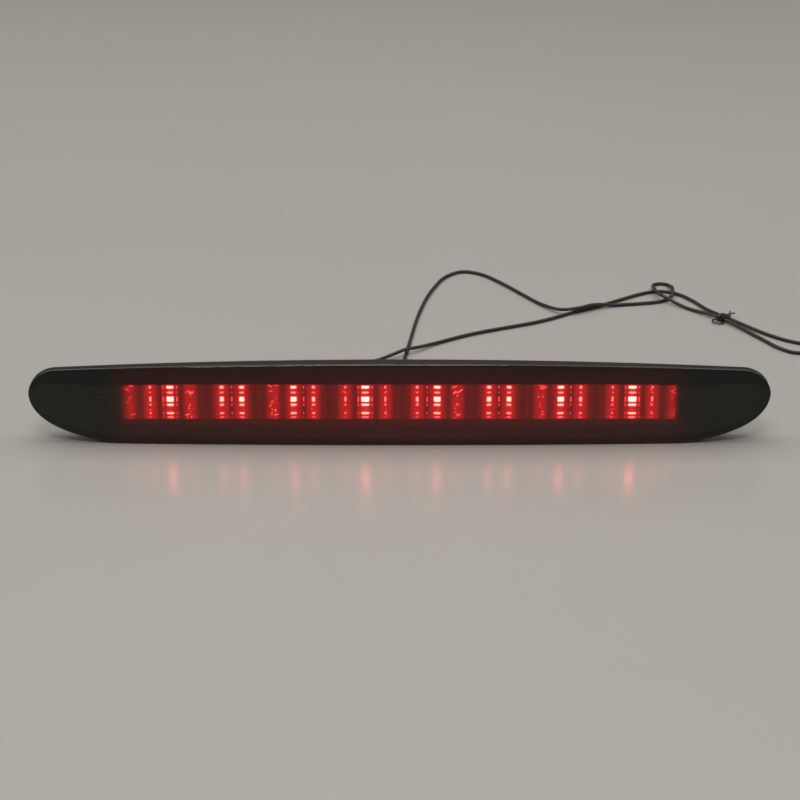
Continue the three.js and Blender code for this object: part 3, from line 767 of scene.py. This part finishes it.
def band_edges():
    """Heights of the grooves between the bands of lenses."""
    heights = [row[0] for row in ROWS]
    return [LIT_Z[1], *((a + b) / 2 for a, b in zip(heights, heights[1:])), LIT_Z[0]]


def lift_at(x):
    """How much higher the light sits at x than the bands' own heights."""
    return 0.45 + 0.9 * (1 - (x / WINDOW_HALF) ** 2)


def nearest_led(x):
    return min(LED_X, key=lambda led: abs(led - x))


def dash(distance, half, soft=0.35):
    """1 inside a mark of a half width, falling to 0 over a soft edge."""
    return 1 / (1 + math.exp((abs(distance) - half) / soft * 2.2))


def lit_columns():
    """(x, half width, brightness, broken) of each column of light the optic makes."""
    columns = []
    for k in range(-1, 23):
        cell = CELL_FIRST + CELL_PITCH * k
        led = nearest_led(cell)
        off = abs(cell - led)
        x = cell + 0.18 * (led - cell)
        columns.append((x, max(2.2 - 0.15 * off, 0.6), 1.02 - 0.022 * off, off > 13.3))
    lit = [c for c in columns if c[2] > 0.80]
    for a, b in zip(lit, lit[1:]):
        if b[0] - a[0] < 14:
            columns.append(((a[0] + b[0]) / 2, THIN, 0.72, False))
    for led in LED_X:
        close = [c for c in lit if abs(c[0] - led) < 9]
        if len(close) == 1:
            columns += [(close[0][0] + side, THIN, 0.76, False) for side in (-3.5, 3.4)]
    return columns


def broken_streaks(seed):
    """Short crooked streaks of light for the cells between two LEDs: (x, z, dx, dz, brightness)."""
    dice = random.Random(seed)
    streaks = []
    for x, _, _, broken in lit_columns():
        if not broken:
            continue
        strength = dice.uniform(0.75, 1.0) * (0.8 if abs(x) > 110 else 1.0)
        for _ in range(4):
            streaks.append((x + dice.uniform(-1.9, 1.9), dice.uniform(23.8, 27.8), dice.uniform(0.7, 1.5),
                            dice.uniform(-0.8, 0.8), strength * dice.uniform(0.65, 0.95)))
        for _ in range(9):
            streaks.append((x + dice.uniform(-1.7, 1.7), dice.uniform(11.0, 23.5), dice.uniform(-0.4, 0.4),
                            dice.uniform(0.3, 0.9), strength * dice.uniform(0.5, 0.88)))
        streaks.append((x + dice.uniform(-1.5, 1.5), 13.0, 1.2, 0.2, strength * dice.uniform(0.6, 0.95)))
    for x, half, strength, broken in lit_columns():
        if broken or half <= THIN or strength > 0.86:
            continue
        for _ in range(3):
            streaks.append((x + dice.uniform(-0.9, 0.9), dice.uniform(11.0, 27.5), dice.uniform(-0.5, 0.5),
                            dice.uniform(0.3, 0.7), dice.uniform(0.5, 0.75)))
    return streaks


def streak_light(x, z, streaks):
    light = 0.0
    for sx, sz, dx, dz, strength in streaks:
        if abs(x - sx) > 3 or abs(z - sz) > 3:
            continue
        length = math.hypot(dx, dz)
        run = ((x - sx) * dx + (z - sz) * dz) / length
        across = ((x - sx) * dz - (z - sz) * dx) / length
        light = max(light, strength * dash(run, length, 0.25) * dash(across, 0.26, 0.25))
    return light


def glow_at(x, z, columns, streaks):
    """Brightness of the optic at a point, 0 to 1."""
    z -= lift_at(x)
    flute = math.cos(2 * math.pi * (x - CELL_FIRST) / FLUTE)
    light = 0.06 + 0.02 * flute
    for cx, half, strength, broken in columns:
        away = abs(x - cx)
        if away > 12:
            continue
        if half > THIN:
            near = (0.06 + 0.22 * strength) * math.exp(-(away / 4.6) ** 2)
            light = max(light, near * (1 + 0.06 * flute))
        if broken or away > half + 1.6:
            continue
        for rz, tall, gain in ROWS:
            mark = dash(x - cx, half * (1.0 if gain > 0.75 else 0.9)) * dash(z - rz, tall, 0.3)
            light = max(light, strength * (0.35 + 0.65 * gain) * mark)
    light = max(light, streak_light(x, z, streaks))
    edge = dash(z - sum(LIT_Z) / 2, (LIT_Z[1] - LIT_Z[0]) / 2, 0.25)
    end = dash(x, WINDOW_HALF - 1.0, 0.8)
    return 0.012 + (light - 0.012) * edge * end


def cell_relief(x, z, edges):
    """How far the optic's small lenses stand up at a point, in millimetres."""
    across = 2 * (((x - CELL_FIRST) / FLUTE + 0.5) % 1) - 1
    for high, low in zip(edges, edges[1:]):
        if low <= z <= high:
            up = 2 * (z - low) / (high - low) - 1
            return 0.32 * (1 - across ** 2) * (1 - up ** 4) + 0.16 * (1 - up ** 2)
    return 0.0


def add_optic(mat):
    """The inner optic: a slab with rows of small lenses on its front."""
    edges = band_edges()
    columns = lit_columns()
    streaks = broken_streaks(7)
    steps = 900
    half = OPTIC_HIGH.x
    xs = [half * (2 * i / steps - 1) for i in range(steps + 1)]
    rows = 76
    low, high = OPTIC_LOW.z, OPTIC_HIGH.z
    zs = [low + (high - low) * j / rows for j in range(rows + 1)]
    bm = bmesh.new()
    glow = bm.verts.layers.float.new("glow")

    def front_at(x, z):
        chord = face_depth(x, low) + (face_depth(x, high) - face_depth(x, low)) * (z - low) / (high - low)
        return OPTIC_SETBACK + chord + 0.5

    grid = []
    for x in xs:
        column = []
        for z in zs:
            vertex = bm.verts.new(at(x, front_at(x, z) - cell_relief(x, z, edges), z))
            vertex[glow] = glow_at(x, z, columns, streaks)
            column.append(vertex)
        grid.append(column)
    sheet(bm, grid, closed=False)
    back = [[bm.verts.new(at(x, front_at(x, z) + OPTIC_THICK - 0.5, z)) for z in (low, high)] for x in xs]
    for (front_a, front_b), (back_a, back_b) in zip(zip(grid, grid[1:]), zip(back, back[1:])):
        bm.faces.new((front_a[0], back_a[0], back_b[0], front_b[0]))
        bm.faces.new((front_a[-1], front_b[-1], back_b[-1], back_a[-1]))
        bm.faces.new((back_a[0], back_a[1], back_b[1], back_b[0]))
    for column, (a, b) in ((grid[0], back[0]), (grid[-1], back[-1])):
        bm.faces.new([*column, b, a])
    piece("lens_optic", bm, mat, replaces=["inner_optic"], sharp=50)


# ---------------------------------------------------------------- housing

FLANGE = (12.4, 14.0)
LIP_INSET = 0.4
LIP_BACK = 13.0
STEP_INSET = 1.3
BODY_BACK = 32.0
BODY_HALF = 155.0
BODY_Z = (5.0, 34.2)
BODY_CORNER = 11.0
BODY_FALL = 0.144
BODY_WALL = 2.2
FOOT_X = (-70.0, 70.0)
GROMMET_Z = centre_of("wire_grommet")[2]
VENT_X, _, VENT_Z = centre_of("vent_cap")
CLIP_Z = centre_of("clip_base_right")[2]
CLIP_SCREW_X = centre_of("clip_screw_right")[0]


def body_outline(inset, turns=10, spans=60):
    """Points [x, z] round the housing's body, drawn inside its own outline by inset."""
    radius = BODY_CORNER - inset
    x = BODY_HALF - BODY_CORNER
    low, high = BODY_Z[0] + BODY_CORNER, BODY_Z[1] - BODY_CORNER
    points = []
    for cx, cz, start in ((x, low, -90), (x, high, 0), (-x, high, 90), (-x, low, 180)):
        angles = [math.radians(start + 90 * i / turns) for i in range(turns + 1)]
        arc = [(cx + radius * math.cos(a), cz + radius * math.sin(a)) for a in angles]
        points += arc
        if start in (0, 180):
            points += [(cx - 2 * cx * i / spans, arc[-1][1]) for i in range(1, spans)]
    return points


def lowered(z, depth):
    """Height of a body point, whose top curves down towards the back."""
    lost = BODY_FALL * (max(depth - FLANGE[1], 0) / (BODY_BACK - FLANGE[1])) ** 2
    return BODY_Z[0] + (z - BODY_Z[0]) * (1 - lost)


def body_loop(bm, inset, depth):
    return [bm.verts.new(at(x, depth, lowered(z, depth))) for x, z in body_outline(inset)]


def flat_ring(bm, *loops):
    """Triangles that fill the flat face between an outer loop and the loops inside it."""
    edges = []
    for loop in loops:
        for a, b in zip(loop, loop[1:] + loop[:1]):
            edges.append(bm.edges.get((a, b)) or bm.edges.new((a, b)))
    bmesh.ops.triangle_fill(bm, use_beauty=True, use_dissolve=False, edges=edges)


def add_housing(mat):
    """The flanged housing, open at the front, with rounded edges at the flange and the back."""
    bm = bmesh.new()
    rim = [(LIP_INSET + 0.2, FLANGE[0]), (LIP_INSET, FLANGE[0] + 0.2), (LIP_INSET, LIP_BACK - 0.2),
           (LIP_INSET + 0.2, LIP_BACK), (STEP_INSET, LIP_BACK), (STEP_INSET, FLANGE[1] - 0.25),
           (STEP_INSET + 0.25, FLANGE[1])]
    flange = [loop_of(bm, outline(inset), depth) for inset, depth in rim]
    sheet(bm, flange)
    root = 0.8
    edge = 1.2
    outside = [(-root, FLANGE[1]), (-0.25, FLANGE[1] + 0.25), (0, FLANGE[1] + root)]
    outside += [(0, depth) for depth in range(16, 31, 2)]
    outside += [(edge - edge * math.cos(a), BODY_BACK - edge + edge * math.sin(a)) for a in quarter_turn(5)]
    loops = [body_loop(bm, inset, depth) for inset, depth in outside]
    sheet(bm, loops)
    cavity = [body_loop(bm, BODY_WALL, depth) for depth in (FLANGE[0], 16, 20, 24, 27, BODY_BACK - BODY_WALL)]
    sheet(bm, cavity)
    flat_ring(bm, flange[-1], loops[0])
    flat_ring(bm, flange[0], cavity[0])
    back_inset = [body_loop(bm, 2.6, BODY_BACK), body_loop(bm, 3.2, BODY_BACK - 0.5)]
    bridge(bm, loops[-1], back_inset[0])
    bridge(bm, *back_inset)
    bm.faces.new(back_inset[-1])
    bm.faces.new(cavity[-1])
    piece("housing_shell", bm, mat, replaces=["rear_housing"])


def add_feet(mat):
    """Two small feet that the lamp stands on."""
    for i, x in enumerate(FOOT_X):
        rounded_block(f"housing_foot_{i + 1}", (x - 4.5, x + 4.5), (22, 31.5), (0, BODY_Z[0] + 0.4), mat,
                      0.7)


def add_ribs(mat):
    """Moulded ribs across the housing's back and round each clip's seat."""
    places = [x for x in range(-120, 121, 24) if abs(x) > 12 and abs(x - VENT_X) > 8]
    for i, x in enumerate(places):
        rounded_block(f"housing_rib_{i + 1}", (x - 0.7, x + 0.7), (BODY_BACK - 0.7, BODY_BACK + 0.35),
                      (8.5, 28.0), mat, 0.3, 2)
    for side, name in ((-1, "left"), (1, "right")):
        for k, z in enumerate((CLIP_Z - 7.4, CLIP_Z + 7.4)):
            rounded_block(f"clip_rail_{name}_{k + 1}", sorted((side * 136.0, side * 151.0)),
                          (BODY_BACK - 0.7, BODY_BACK + 0.9), (z - 0.6, z + 0.6), mat,
                          0.3, 2)


def add_posts(mat):
    """The hollow stands inside the housing that the board screws go into."""
    for i in range(1, 5):
        x, _, z = centre_of(f"board_screw_{i}")
        bm = bmesh.new()
        profile = [(1.5, 21.9), (2.6, 21.9), (2.9, 22.2), (3.0, 29.9), (0, 29.9)]
        lathe(bm, [(0, 28.6), (1.5, 28.6), *profile], x, z, 32)
        piece(f"housing_post_{i}", bm, mat)


def add_gasket(mat):
    """The foam ring round the body."""
    first, last = depth_of("foam_gasket")
    bm = bmesh.new()
    inset = 2.2
    soft = 0.4
    skin = [(inset + soft, first), (inset + 0.15, first + 0.15), (inset, first + soft), (inset, last - soft),
            (inset + 0.15, last - 0.15), (inset + soft, last)]
    outer = [loop_of(bm, outline(i), depth) for i, depth in skin]
    sheet(bm, outer)
    hole = [body_loop(bm, -0.3, depth) for depth in (first, (first + last) / 2, last)]
    sheet(bm, hole)
    flat_ring(bm, outer[0], hole[0])
    flat_ring(bm, outer[-1], hole[-1])
    piece("gasket_ring", bm, mat, replaces=["foam_gasket"])


def add_grommet(mat):
    """The rubber grommet: a waist in the wall, a collar, and two small necks for the wires."""
    first, last = depth_of("wire_grommet")
    bm = bmesh.new()
    out = BODY_BACK + 0.3
    lip = [(5.7 + 0.5 * math.cos(a), out + 0.5 + 0.5 * math.sin(a)) for a in quarter_turn(4)]
    profile = [(0, first), (4.2, first), (4.6, first + 0.4), (4.6, out), (5.9, out), *lip,
               (4.9, out + 1.3), (4.3, last - 0.35), (3.9, last - 0.05), (0, last)]
    lathe(bm, profile, 0, GROMMET_Z, 64)
    piece("grommet_body", bm, mat, replaces=["wire_grommet"])
    for i, x in enumerate((-3.0, 3.0)):
        bm = bmesh.new()
        neck = [(0, last - 0.4), (1.75, last - 0.4), (1.75, last - 0.1), (1.45, last + 0.25),
                (1.05, last + 0.3), (0, last + 0.3)]
        lathe(bm, neck, x, GROMMET_Z, 32)
        piece(f"grommet_neck_{i + 1}", bm, mat)


def add_vent(mat):
    """The breather cap, with a ring of small notches round its face."""
    first, last = depth_of("vent_cap")
    bm = bmesh.new()
    sides = 72
    out = BODY_BACK + 0.3
    profile = [(0, first), (2, first), (2, out), (4.4, out), (4.6, out + 0.2), (4.6, out + 1.0),
               (4.35, out + 1.5), (3.8, last), (2.4, last), (2.2, last - 0.4), (1.2, last - 0.4),
               (0, last - 0.35)]
    rings = []
    for radius, depth in profile:
        ring = []
        for i, angle in enumerate(turn(sides) if radius else [0.0]):
            notched = (i // 3) % 2 and radius > 3.9 and depth > out + 0.1
            r = radius - (0.35 if notched else 0.0)
            ring.append(bm.verts.new(at(VENT_X + r * math.cos(angle), depth, VENT_Z + r * math.sin(angle))))
        rings.append(ring)
    join_rings(bm, rings)
    piece("vent_body", bm, mat, replaces=["vent_cap"], sharp=28)


# ---------------------------------------------------------------- clips and screws

LEAF = 0.8
CLIP_WIDTH = 12.0
ARM_PATH = [(154.7, 32.7), (156.4, 32.6), (158.8, 30.8), (166.2, 25.4), (166.9, 24.4), (166.4, 23.3),
            (163.8, 21.4)]


def add_clip_base(name, side, mat):
    """The flat foot of a clip, with a rounded end and a stamped stiffening bead."""
    bm = bmesh.new()
    face = BODY_BACK + 0.3
    x0, x1 = 137.0, 154.4
    half = CLIP_WIDTH / 2
    corner = 2.5
    arc = quarter_turn(6)
    edge = [(x1, -half), (x1, half)]
    edge += [(x0 + corner - corner * math.sin(a), half - corner + corner * math.cos(a)) for a in arc]
    edge += [(x0 + corner - corner * math.cos(a), -half + corner - corner * math.sin(a)) for a in arc]
    hole = [(CLIP_SCREW_X + 1.6 * math.cos(a), 1.6 * math.sin(a)) for a in turn(32)]
    plates = []
    for depth in (face, face + LEAF):
        loops = [loop_of(bm, [(side * x, CLIP_Z + z) for x, z in points], depth) for points in (edge, hole)]
        flat_ring(bm, *loops)
        plates.append(loops)
    for low, high in zip(*plates):
        bridge(bm, low, high)
    base = piece(f"{name}_plate", bm, mat, replaces=[f"clip_base_{name}"])
    round_edges(base, 0.12, 2)
    for k, z in enumerate((CLIP_Z - 3.9, CLIP_Z + 3.9)):
        rounded_block(f"{name}_bead_{k + 1}", sorted((side * 148.2, side * 153.2)),
                      (face + 0.3, face + LEAF + 0.35), (z - 0.6, z + 0.6), mat, 0.3)


def smooth_flat(points, per_span=6):
    """A smooth path through flat [x, depth] points."""
    places = smooth_route([(x, depth, 0) for x, depth in points], per_span)
    return [(p.x, p.y) for p in places]


def add_clip_arm(name, side, body, mat):
    """The bent spring leaf, narrowing a little towards its hooked end."""
    bm = bmesh.new()
    path = smooth_flat(ARM_PATH)
    sections = []
    for i, (x, depth) in enumerate(path):
        before, after = path[max(i - 1, 0)], path[min(i + 1, len(path) - 1)]
        run = Vector((after[0] - before[0], after[1] - before[1])).normalized()
        normal = Vector((-run.y, run.x)) * LEAF / 2
        share = i / (len(path) - 1)
        half = CLIP_WIDTH / 2 * (1 - 0.12 * max(share - 0.3, 0) / 0.7)
        if i >= len(path) - 4:
            half -= (0.0, 0.2, 0.6, 1.3)[i - (len(path) - 4)]
        corners = [(1, -1), (1, 1), (-1, 1), (-1, -1)]
        sections.append([bm.verts.new(at(side * (x + s * normal.x), depth + s * normal.y, CLIP_Z + t * half))
                         for s, t in corners])
    sheet(bm, sections)
    bm.faces.new(sections[0])
    bm.faces.new(sections[-1])
    arm = piece(f"{name}_leaf", bm, mat, body=body, replaces=[f"clip_arm_{name}"])
    round_edges(arm, 0.12, 2, 60)


def cross_recess(x, z, radius):
    """Depth of a cross-head recess at an offset from a screw's middle."""
    across, along = sorted((abs(x), abs(z)))
    arm = max(0.0, 1 - (along / (0.62 * radius)) ** 4) if across < 0.13 * radius else 0.0
    middle = max(0.0, 1 - math.hypot(x, z) / (0.3 * radius))
    return max(0.55 * arm * radius / 2.8, 0.7 * middle * radius / 2.8)


def add_screw(name, x, z, head, crown, seat, tip, rearward, mat, stands_for):
    """A pan-head screw with a cross recess. Rearward is 1 for a head at the back, -1 at the front."""
    bm = bmesh.new()
    sides, rings = 64, 22
    tall = abs(tip - seat)
    around = turn(sides, 0.5)
    grid = []
    for j in range(1, rings + 1):
        r = head * j / rings
        row = []
        for angle in around:
            dx, dz = r * math.cos(angle), r * math.sin(angle)
            fall = tall * 0.75 * max(0.0, (r - crown) / (head - crown)) ** 2
            dome = 0.12 * (r / head) ** 2
            depth = tip - rearward * (fall + dome + cross_recess(dx, dz, head))
            row.append(bm.verts.new(at(x + dx, depth, z + dz)))
        grid.append(row)
    middle = bm.verts.new(at(x, tip - rearward * cross_recess(0, 0, head), z))
    for i in range(sides):
        bm.faces.new((middle, grid[0][i], grid[0][(i + 1) % sides]))
    sheet(bm, grid)
    turns = 30
    shank = 1.15
    rows = [grid[-1],
            [bm.verts.new(at(x + head * math.cos(a), seat, z + head * math.sin(a))) for a in around]]
    length = 6.4 if rearward < 0 else 4.6
    for k in range(turns + 1):
        run = length * k / turns
        radius = shank * min(1.0, (length - run) / 1.2 + 0.15)
        thread = [0.14 * math.sin(2 * math.pi * (run / 0.9) + 2 * math.pi * i / sides) for i in range(sides)]
        rows.append([bm.verts.new(at(x + (radius + t) * math.cos(a), seat - rearward * run,
                                     z + (radius + t) * math.sin(a))) for t, a in zip(thread, around)])
    sheet(bm, rows)
    bm.faces.new(rows[-1])
    piece(name, bm, mat, replaces=[stands_for], sharp=40)


def add_clips(steel, zinc):
    for side, name in ((-1, "left"), (1, "right")):
        add_clip_base(name, side, steel)
        add_clip_arm(name, side, f"clip_{name}", steel)
        last = depth_of(f"clip_screw_{name}")[1]
        add_screw(f"{name}_clip_screw", side * CLIP_SCREW_X, CLIP_Z, 2.8, 1.7, last - 1.8, last, 1, zinc,
                  f"clip_screw_{name}")


def add_board_screws(zinc):
    for i in range(1, 5):
        x, _, z = centre_of(f"board_screw_{i}")
        head = depth_of(f"board_screw_{i}")[0]
        add_screw(f"board_fixing_{i}", x, z, 2.5, 1.6, head + 1.7, head, -1, zinc, f"board_screw_{i}")


# ---------------------------------------------------------------- tie and plug

WIRE_TIE = {"centre": Vector((189.1, 166.75, 2.1)), "heading": math.radians(-52)}
PLUG_HEADING = math.radians(45)
PLUG_LENGTH = 14.0
PLUG_HALF = 4.2
PLUG_HEIGHT = 6.0
PLUG_PITCH = 3.8
PLUG_X, PLUG_Y, _ = centre_of("plug_body")


def turned_to(origin, heading, a, b, c):
    """A point given along, across and up from an origin in millimetres, in metres."""
    return Vector((origin.x + a * math.cos(heading) - b * math.sin(heading),
                   origin.y + a * math.sin(heading) + b * math.cos(heading), origin.z + c)) * MM


def plug_place(a, b, c):
    """A point on the plug, measured from the end that the leads go into."""
    return turned_to(Vector((PLUG_X, PLUG_Y, 0)), PLUG_HEADING, a - PLUG_LENGTH / 2, b, c)


def plug_loop(bm, a, points):
    return [bm.verts.new(plug_place(a, b, c)) for b, c in points]


def plug_bar(bm, along, across, up):
    block_faces(bm, [plug_place(a, b, c) for c in up for b in across for a in along])


def square(b, c, half):
    return [(b - half, c - half), (b + half, c - half), (b + half, c + half), (b - half, c + half)]


def add_plug(nylon, tin):
    """The two-way plug: a block with two open mouths, grip ribs, a ramped latch and two contacts."""
    pieces = []
    middle = PLUG_HEIGHT / 2
    mouths = [square(side * PLUG_PITCH / 2, middle, 1.2) for side in (-1, 1)]
    rim = [(-PLUG_HALF, 0), (PLUG_HALF, 0), (PLUG_HALF, PLUG_HEIGHT), (-PLUG_HALF, PLUG_HEIGHT)]
    bm = bmesh.new()
    ends = [plug_loop(bm, a, rim) for a in (0, PLUG_LENGTH)]
    bridge(bm, *ends)
    bm.faces.new(ends[0])
    fronts = [plug_loop(bm, PLUG_LENGTH, mouth) for mouth in mouths]
    floors = [plug_loop(bm, 6.5, mouth) for mouth in mouths]
    for front, floor in zip(fronts, floors):
        bridge(bm, front, floor)
        bm.faces.new(floor)
    flat_ring(bm, ends[1], *fronts)
    pieces.append(piece("plug_block", bm, nylon, replaces=["plug_body"]))
    round_edges(pieces[-1], 0.3, 3)
    bm = bmesh.new()
    ramp = [(4.0, -0.3), (12.0, -0.3), (12.0, 0.2), (10.6, 1.0), (9.6, 1.0), (9.6, 0.45), (4.0, 0.45)]
    sides = [[bm.verts.new(plug_place(a, b, PLUG_HEIGHT + c)) for a, c in ramp] for b in (-1.8, 1.8)]
    bridge(bm, *sides)
    for side in sides:
        bm.faces.new(side)
    pieces.append(piece("plug_latch", bm, nylon))
    round_edges(pieces[-1], 0.15, 2)
    for side, label in ((-1, "near"), (1, "far")):
        for k in range(4):
            bm = bmesh.new()
            start = 1.2 + 1.25 * k
            across = sorted((side * (PLUG_HALF - 0.3), side * (PLUG_HALF + 0.12)))
            plug_bar(bm, (start, start + 0.6), across, (1.0, PLUG_HEIGHT - 1.0))
            pieces.append(piece(f"plug_grip_{label}_{k + 1}", bm, nylon))
            round_edges(pieces[-1], 0.1, 2)
    for i, side in enumerate((-1, 1)):
        b = side * PLUG_PITCH / 2
        bm = bmesh.new()
        for across in ((b - 0.5, b - 0.12), (b + 0.12, b + 0.5)):
            plug_bar(bm, (7.6, 13.0), across, (middle - 0.5, middle + 0.5))
        plug_bar(bm, (6.8, 7.7), (b - 0.5, b + 0.5), (middle - 0.5, middle + 0.5))
        blade = piece(f"plug_blade_{i + 1}", bm, tin, replaces=[f"plug_contact_{i + 1}"])
        pieces.append(round_edges(blade, 0.08, 2))
    return pieces


def tie_place(a, b, c):
    return turned_to(WIRE_TIE["centre"], WIRE_TIE["heading"], a, b, c)


def add_tie(mat):
    """A plastic-covered wire wound round both leads, one end in a loop, the other standing out."""
    width, height = 3.1, 1.6
    run = width - height
    turns, steps = 5.0, 40
    dice = random.Random(3)
    swell = [dice.uniform(-0.25, 0.35) for _ in range(int(turns) + 2)]
    route = []
    for i in range(int(turns * steps) + 1):
        angle = 2 * math.pi * i / steps
        lap, share = divmod(i / steps, 1)
        extra = swell[int(lap)] * (1 - share) + swell[int(lap) + 1] * share
        b = (height + extra) * math.cos(angle) + run * max(-1.0, min(1.0, 2.2 * math.cos(angle)))
        c = (height + 0.3 * extra) * math.sin(angle)
        a = 6.2 * (i / (turns * steps) - 0.5) + 1.1 * math.sin(2 * angle / 2.5)
        route.append(tie_place(a, b, c))
    pieces = [tube("tie_winding", route, 0.46, mat, ["wire_tie"])]
    for k, splay in enumerate((0.9, -0.35)):
        stem = []
        for i in range(31):
            share = i / 30
            twist = 2 * math.pi * 1.5 * share + math.pi * k
            open_share = max(share - 0.5, 0) / 0.5
            a = 0.45 * math.cos(twist) * (1 - open_share) + 3.2 * splay * open_share ** 1.3 - 1.6 * share
            c = 0.45 * math.sin(twist) * (1 - open_share) + 0.5 + 0.6 * open_share
            stem.append(tie_place(a, 2.9 + 6.2 * share, c))
        pieces.append(tube(f"tie_end_{k + 1}", stem, 0.42, mat))
    loop = []
    for i in range(49):
        angle = math.pi * (0.5 + 2.15 * i / 48)
        radius = 2.9 - 0.5 * i / 48
        loop.append(tie_place(1.0 + radius * math.sin(angle - math.pi / 2) * 1.25,
                              -5.4 + radius * math.cos(angle - math.pi / 2), 1.1 * i / 48 - 1.55))
    pieces.append(tube("tie_loop", loop, 0.42, mat))
    return pieces


# ---------------------------------------------------------------- materials of the smaller parts

def rubber():
    return moulded("seal_rubber", (0.010, 0.010, 0.010), (0.019, 0.019, 0.019), 0.72, 1500, 0.03)


def foam():
    """Closed-cell foam with fine pores."""
    mat = moulded("gasket_foam", (0.016, 0.016, 0.017), (0.030, 0.030, 0.031), 0.90, 900, 0.02)
    cells = node(mat, "ShaderNodeTexVoronoi", {"Vector": object_space(mat)}, Scale=1400.0)
    bump(mat, cells.outputs["Distance"], 0.09)
    return mat


def spring_steel():
    """Stamped spring strip, with rolling marks along it and a few dull patches."""
    mat = material("spring_steel", Metallic=1.0)
    rolled = noise(mat, 700, 3, vector=stretched(mat, 0.08, 0.08, 1))
    two_tone(mat, rolled, (0.42, 0.42, 0.43), (0.56, 0.56, 0.56))
    sheen(mat, noise(mat, 120, 4), 0.24, 0.42)
    bump(mat, rolled, 0.004)
    return mat


def zinc():
    """Zinc-plated screw steel, slightly yellowed and dulled."""
    mat = clouded("screw_zinc", 500, (0.55, 0.53, 0.47), (0.68, 0.67, 0.63), (0.26, 0.40), Metallic=1.0)
    bump(mat, noise(mat, 1800, 3), 0.006)
    return mat


def tin():
    return clouded("contact_tin", 900, (0.60, 0.57, 0.47), (0.72, 0.70, 0.62), (0.22, 0.36), Metallic=1.0)


def natural_nylon():
    """Off-white nylon, a little translucent."""
    mat = moulded("nylon_natural", (0.60, 0.58, 0.51), (0.69, 0.67, 0.60), 0.42, 1600, 0.02)
    shader = mat.node_tree.nodes["Principled BSDF"]
    shader.inputs["Subsurface Weight"].default_value = 0.15
    shader.inputs["Subsurface Scale"].default_value = 0.6 * MM
    return mat


def tie_cover():
    return moulded("tie_black", (0.009, 0.009, 0.010), (0.018, 0.018, 0.019), 0.38, 1100, 0.02)


def metallised():
    """Vacuum-metallised plastic, with a slight orange-peel waviness."""
    mat = clouded("reflector_bright", 220, (0.66, 0.64, 0.64), (0.80, 0.78, 0.77), (0.10, 0.20),
                  Metallic=1.0)
    bump(mat, noise(mat, 300, 2), 0.01)
    return mat


def lit_epoxy():
    """Clear red epoxy of a lit LED, brightest over the chip."""
    mat = clouded("led_red", 900, (0.45, 0.012, 0.010), (0.55, 0.020, 0.016), (0.08, 0.16), 3,
                  IOR=1.52, Emission_Strength=6.0)
    facing = node(mat, "ShaderNodeLayerWeight", Blend=0.4).outputs["Facing"]
    wire_to(mat, ramp(mat, facing, [(0.0, (1.0, 0.30, 0.22)), (0.5, (0.55, 0.02, 0.02))]), "Emission Color")
    return mat


def solder_mask():
    """Green solder mask over copper tracks."""
    mat = material("board_green", IOR=1.5)
    tracks = node(mat, "ShaderNodeTexBrick", {"Vector": object_space(mat)}, Scale=110.0,
                  Color1=(0.018, 0.110, 0.040, 1), Color2=(0.022, 0.130, 0.048, 1),
                  Mortar=(0.045, 0.210, 0.085, 1), Mortar_Size=0.03)
    wire_to(mat, tracks.outputs["Color"], "Base Color")
    sheen(mat, noise(mat, 300, 4), 0.24, 0.36)
    bump(mat, tracks.outputs["Fac"], 0.03)
    return mat


TINNED = (0.62, 0.60, 0.55)


def resistor_coat():
    """Beige lacquer with four colour bands along the body."""
    beige = (0.55, 0.40, 0.20)
    return banded("resistor_beige", [
        (0.00, TINNED), (0.20, beige), (0.29, (0.05, 0.12, 0.03)), (0.34, beige),
        (0.42, (0.16, 0.05, 0.02)), (0.47, beige), (0.54, (0.02, 0.02, 0.02)), (0.59, beige),
        (0.68, (0.45, 0.28, 0.05)), (0.73, beige), (0.80, TINNED),
    ], (0.35, 0.5))


def diode_body():
    """Black moulded body with a pale cathode band and tinned legs."""
    black = (0.012, 0.012, 0.013)
    return banded("diode_black", [
        (0.00, TINNED), (0.22, black), (0.62, (0.5, 0.5, 0.5)), (0.70, black), (0.78, TINNED),
    ], (0.3, 0.45))


def dress(names, mat):
    """Gives carried-over CAD nodes a finished material."""
    for name in names:
        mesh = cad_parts[name].data
        mesh.materials.clear()
        mesh.materials.append(mat)


# ---------------------------------------------------------------- build

add_camera()
add_lights()
add_floor()

nylon = natural_nylon()
plug_pieces = add_plug(nylon, tin())
tie_pieces = add_tie(tie_cover())
pvc = wire_cover()
for lead_name, lead_points in (("positive_lead", LEAD_POSITIVE), ("negative_lead", LEAD_NEGATIVE)):
    lead, lead_length = add_lead(lead_name, lead_points, pvc)

smoked = smoked_lens()
black = black_housing()
soft = rubber()
plated = zinc()
add_lens(smoked)
satin = satin_black()
add_mark(satin)
add_bezel(satin)
add_optic(lit_optic())
add_housing(black)
add_feet(black)
add_ribs(black)
add_posts(black)
add_gasket(foam())
add_grommet(soft)
add_vent(black)
add_clips(spring_steel(), plated)
add_board_screws(plated)

dress(["lens_seal"], soft)
dress(["reflector"], metallised())
dress([f"led_{i}" for i in range(1, 9)], lit_epoxy())
dress(["circuit_board"], solder_mask())
dress([f"resistor_{i}" for i in range(1, 5)], resistor_coat())
dress(["diode"], diode_body())
dress(["wire_header"], nylon)
dress(["inner_lead_1", "inner_lead_2"], pvc)
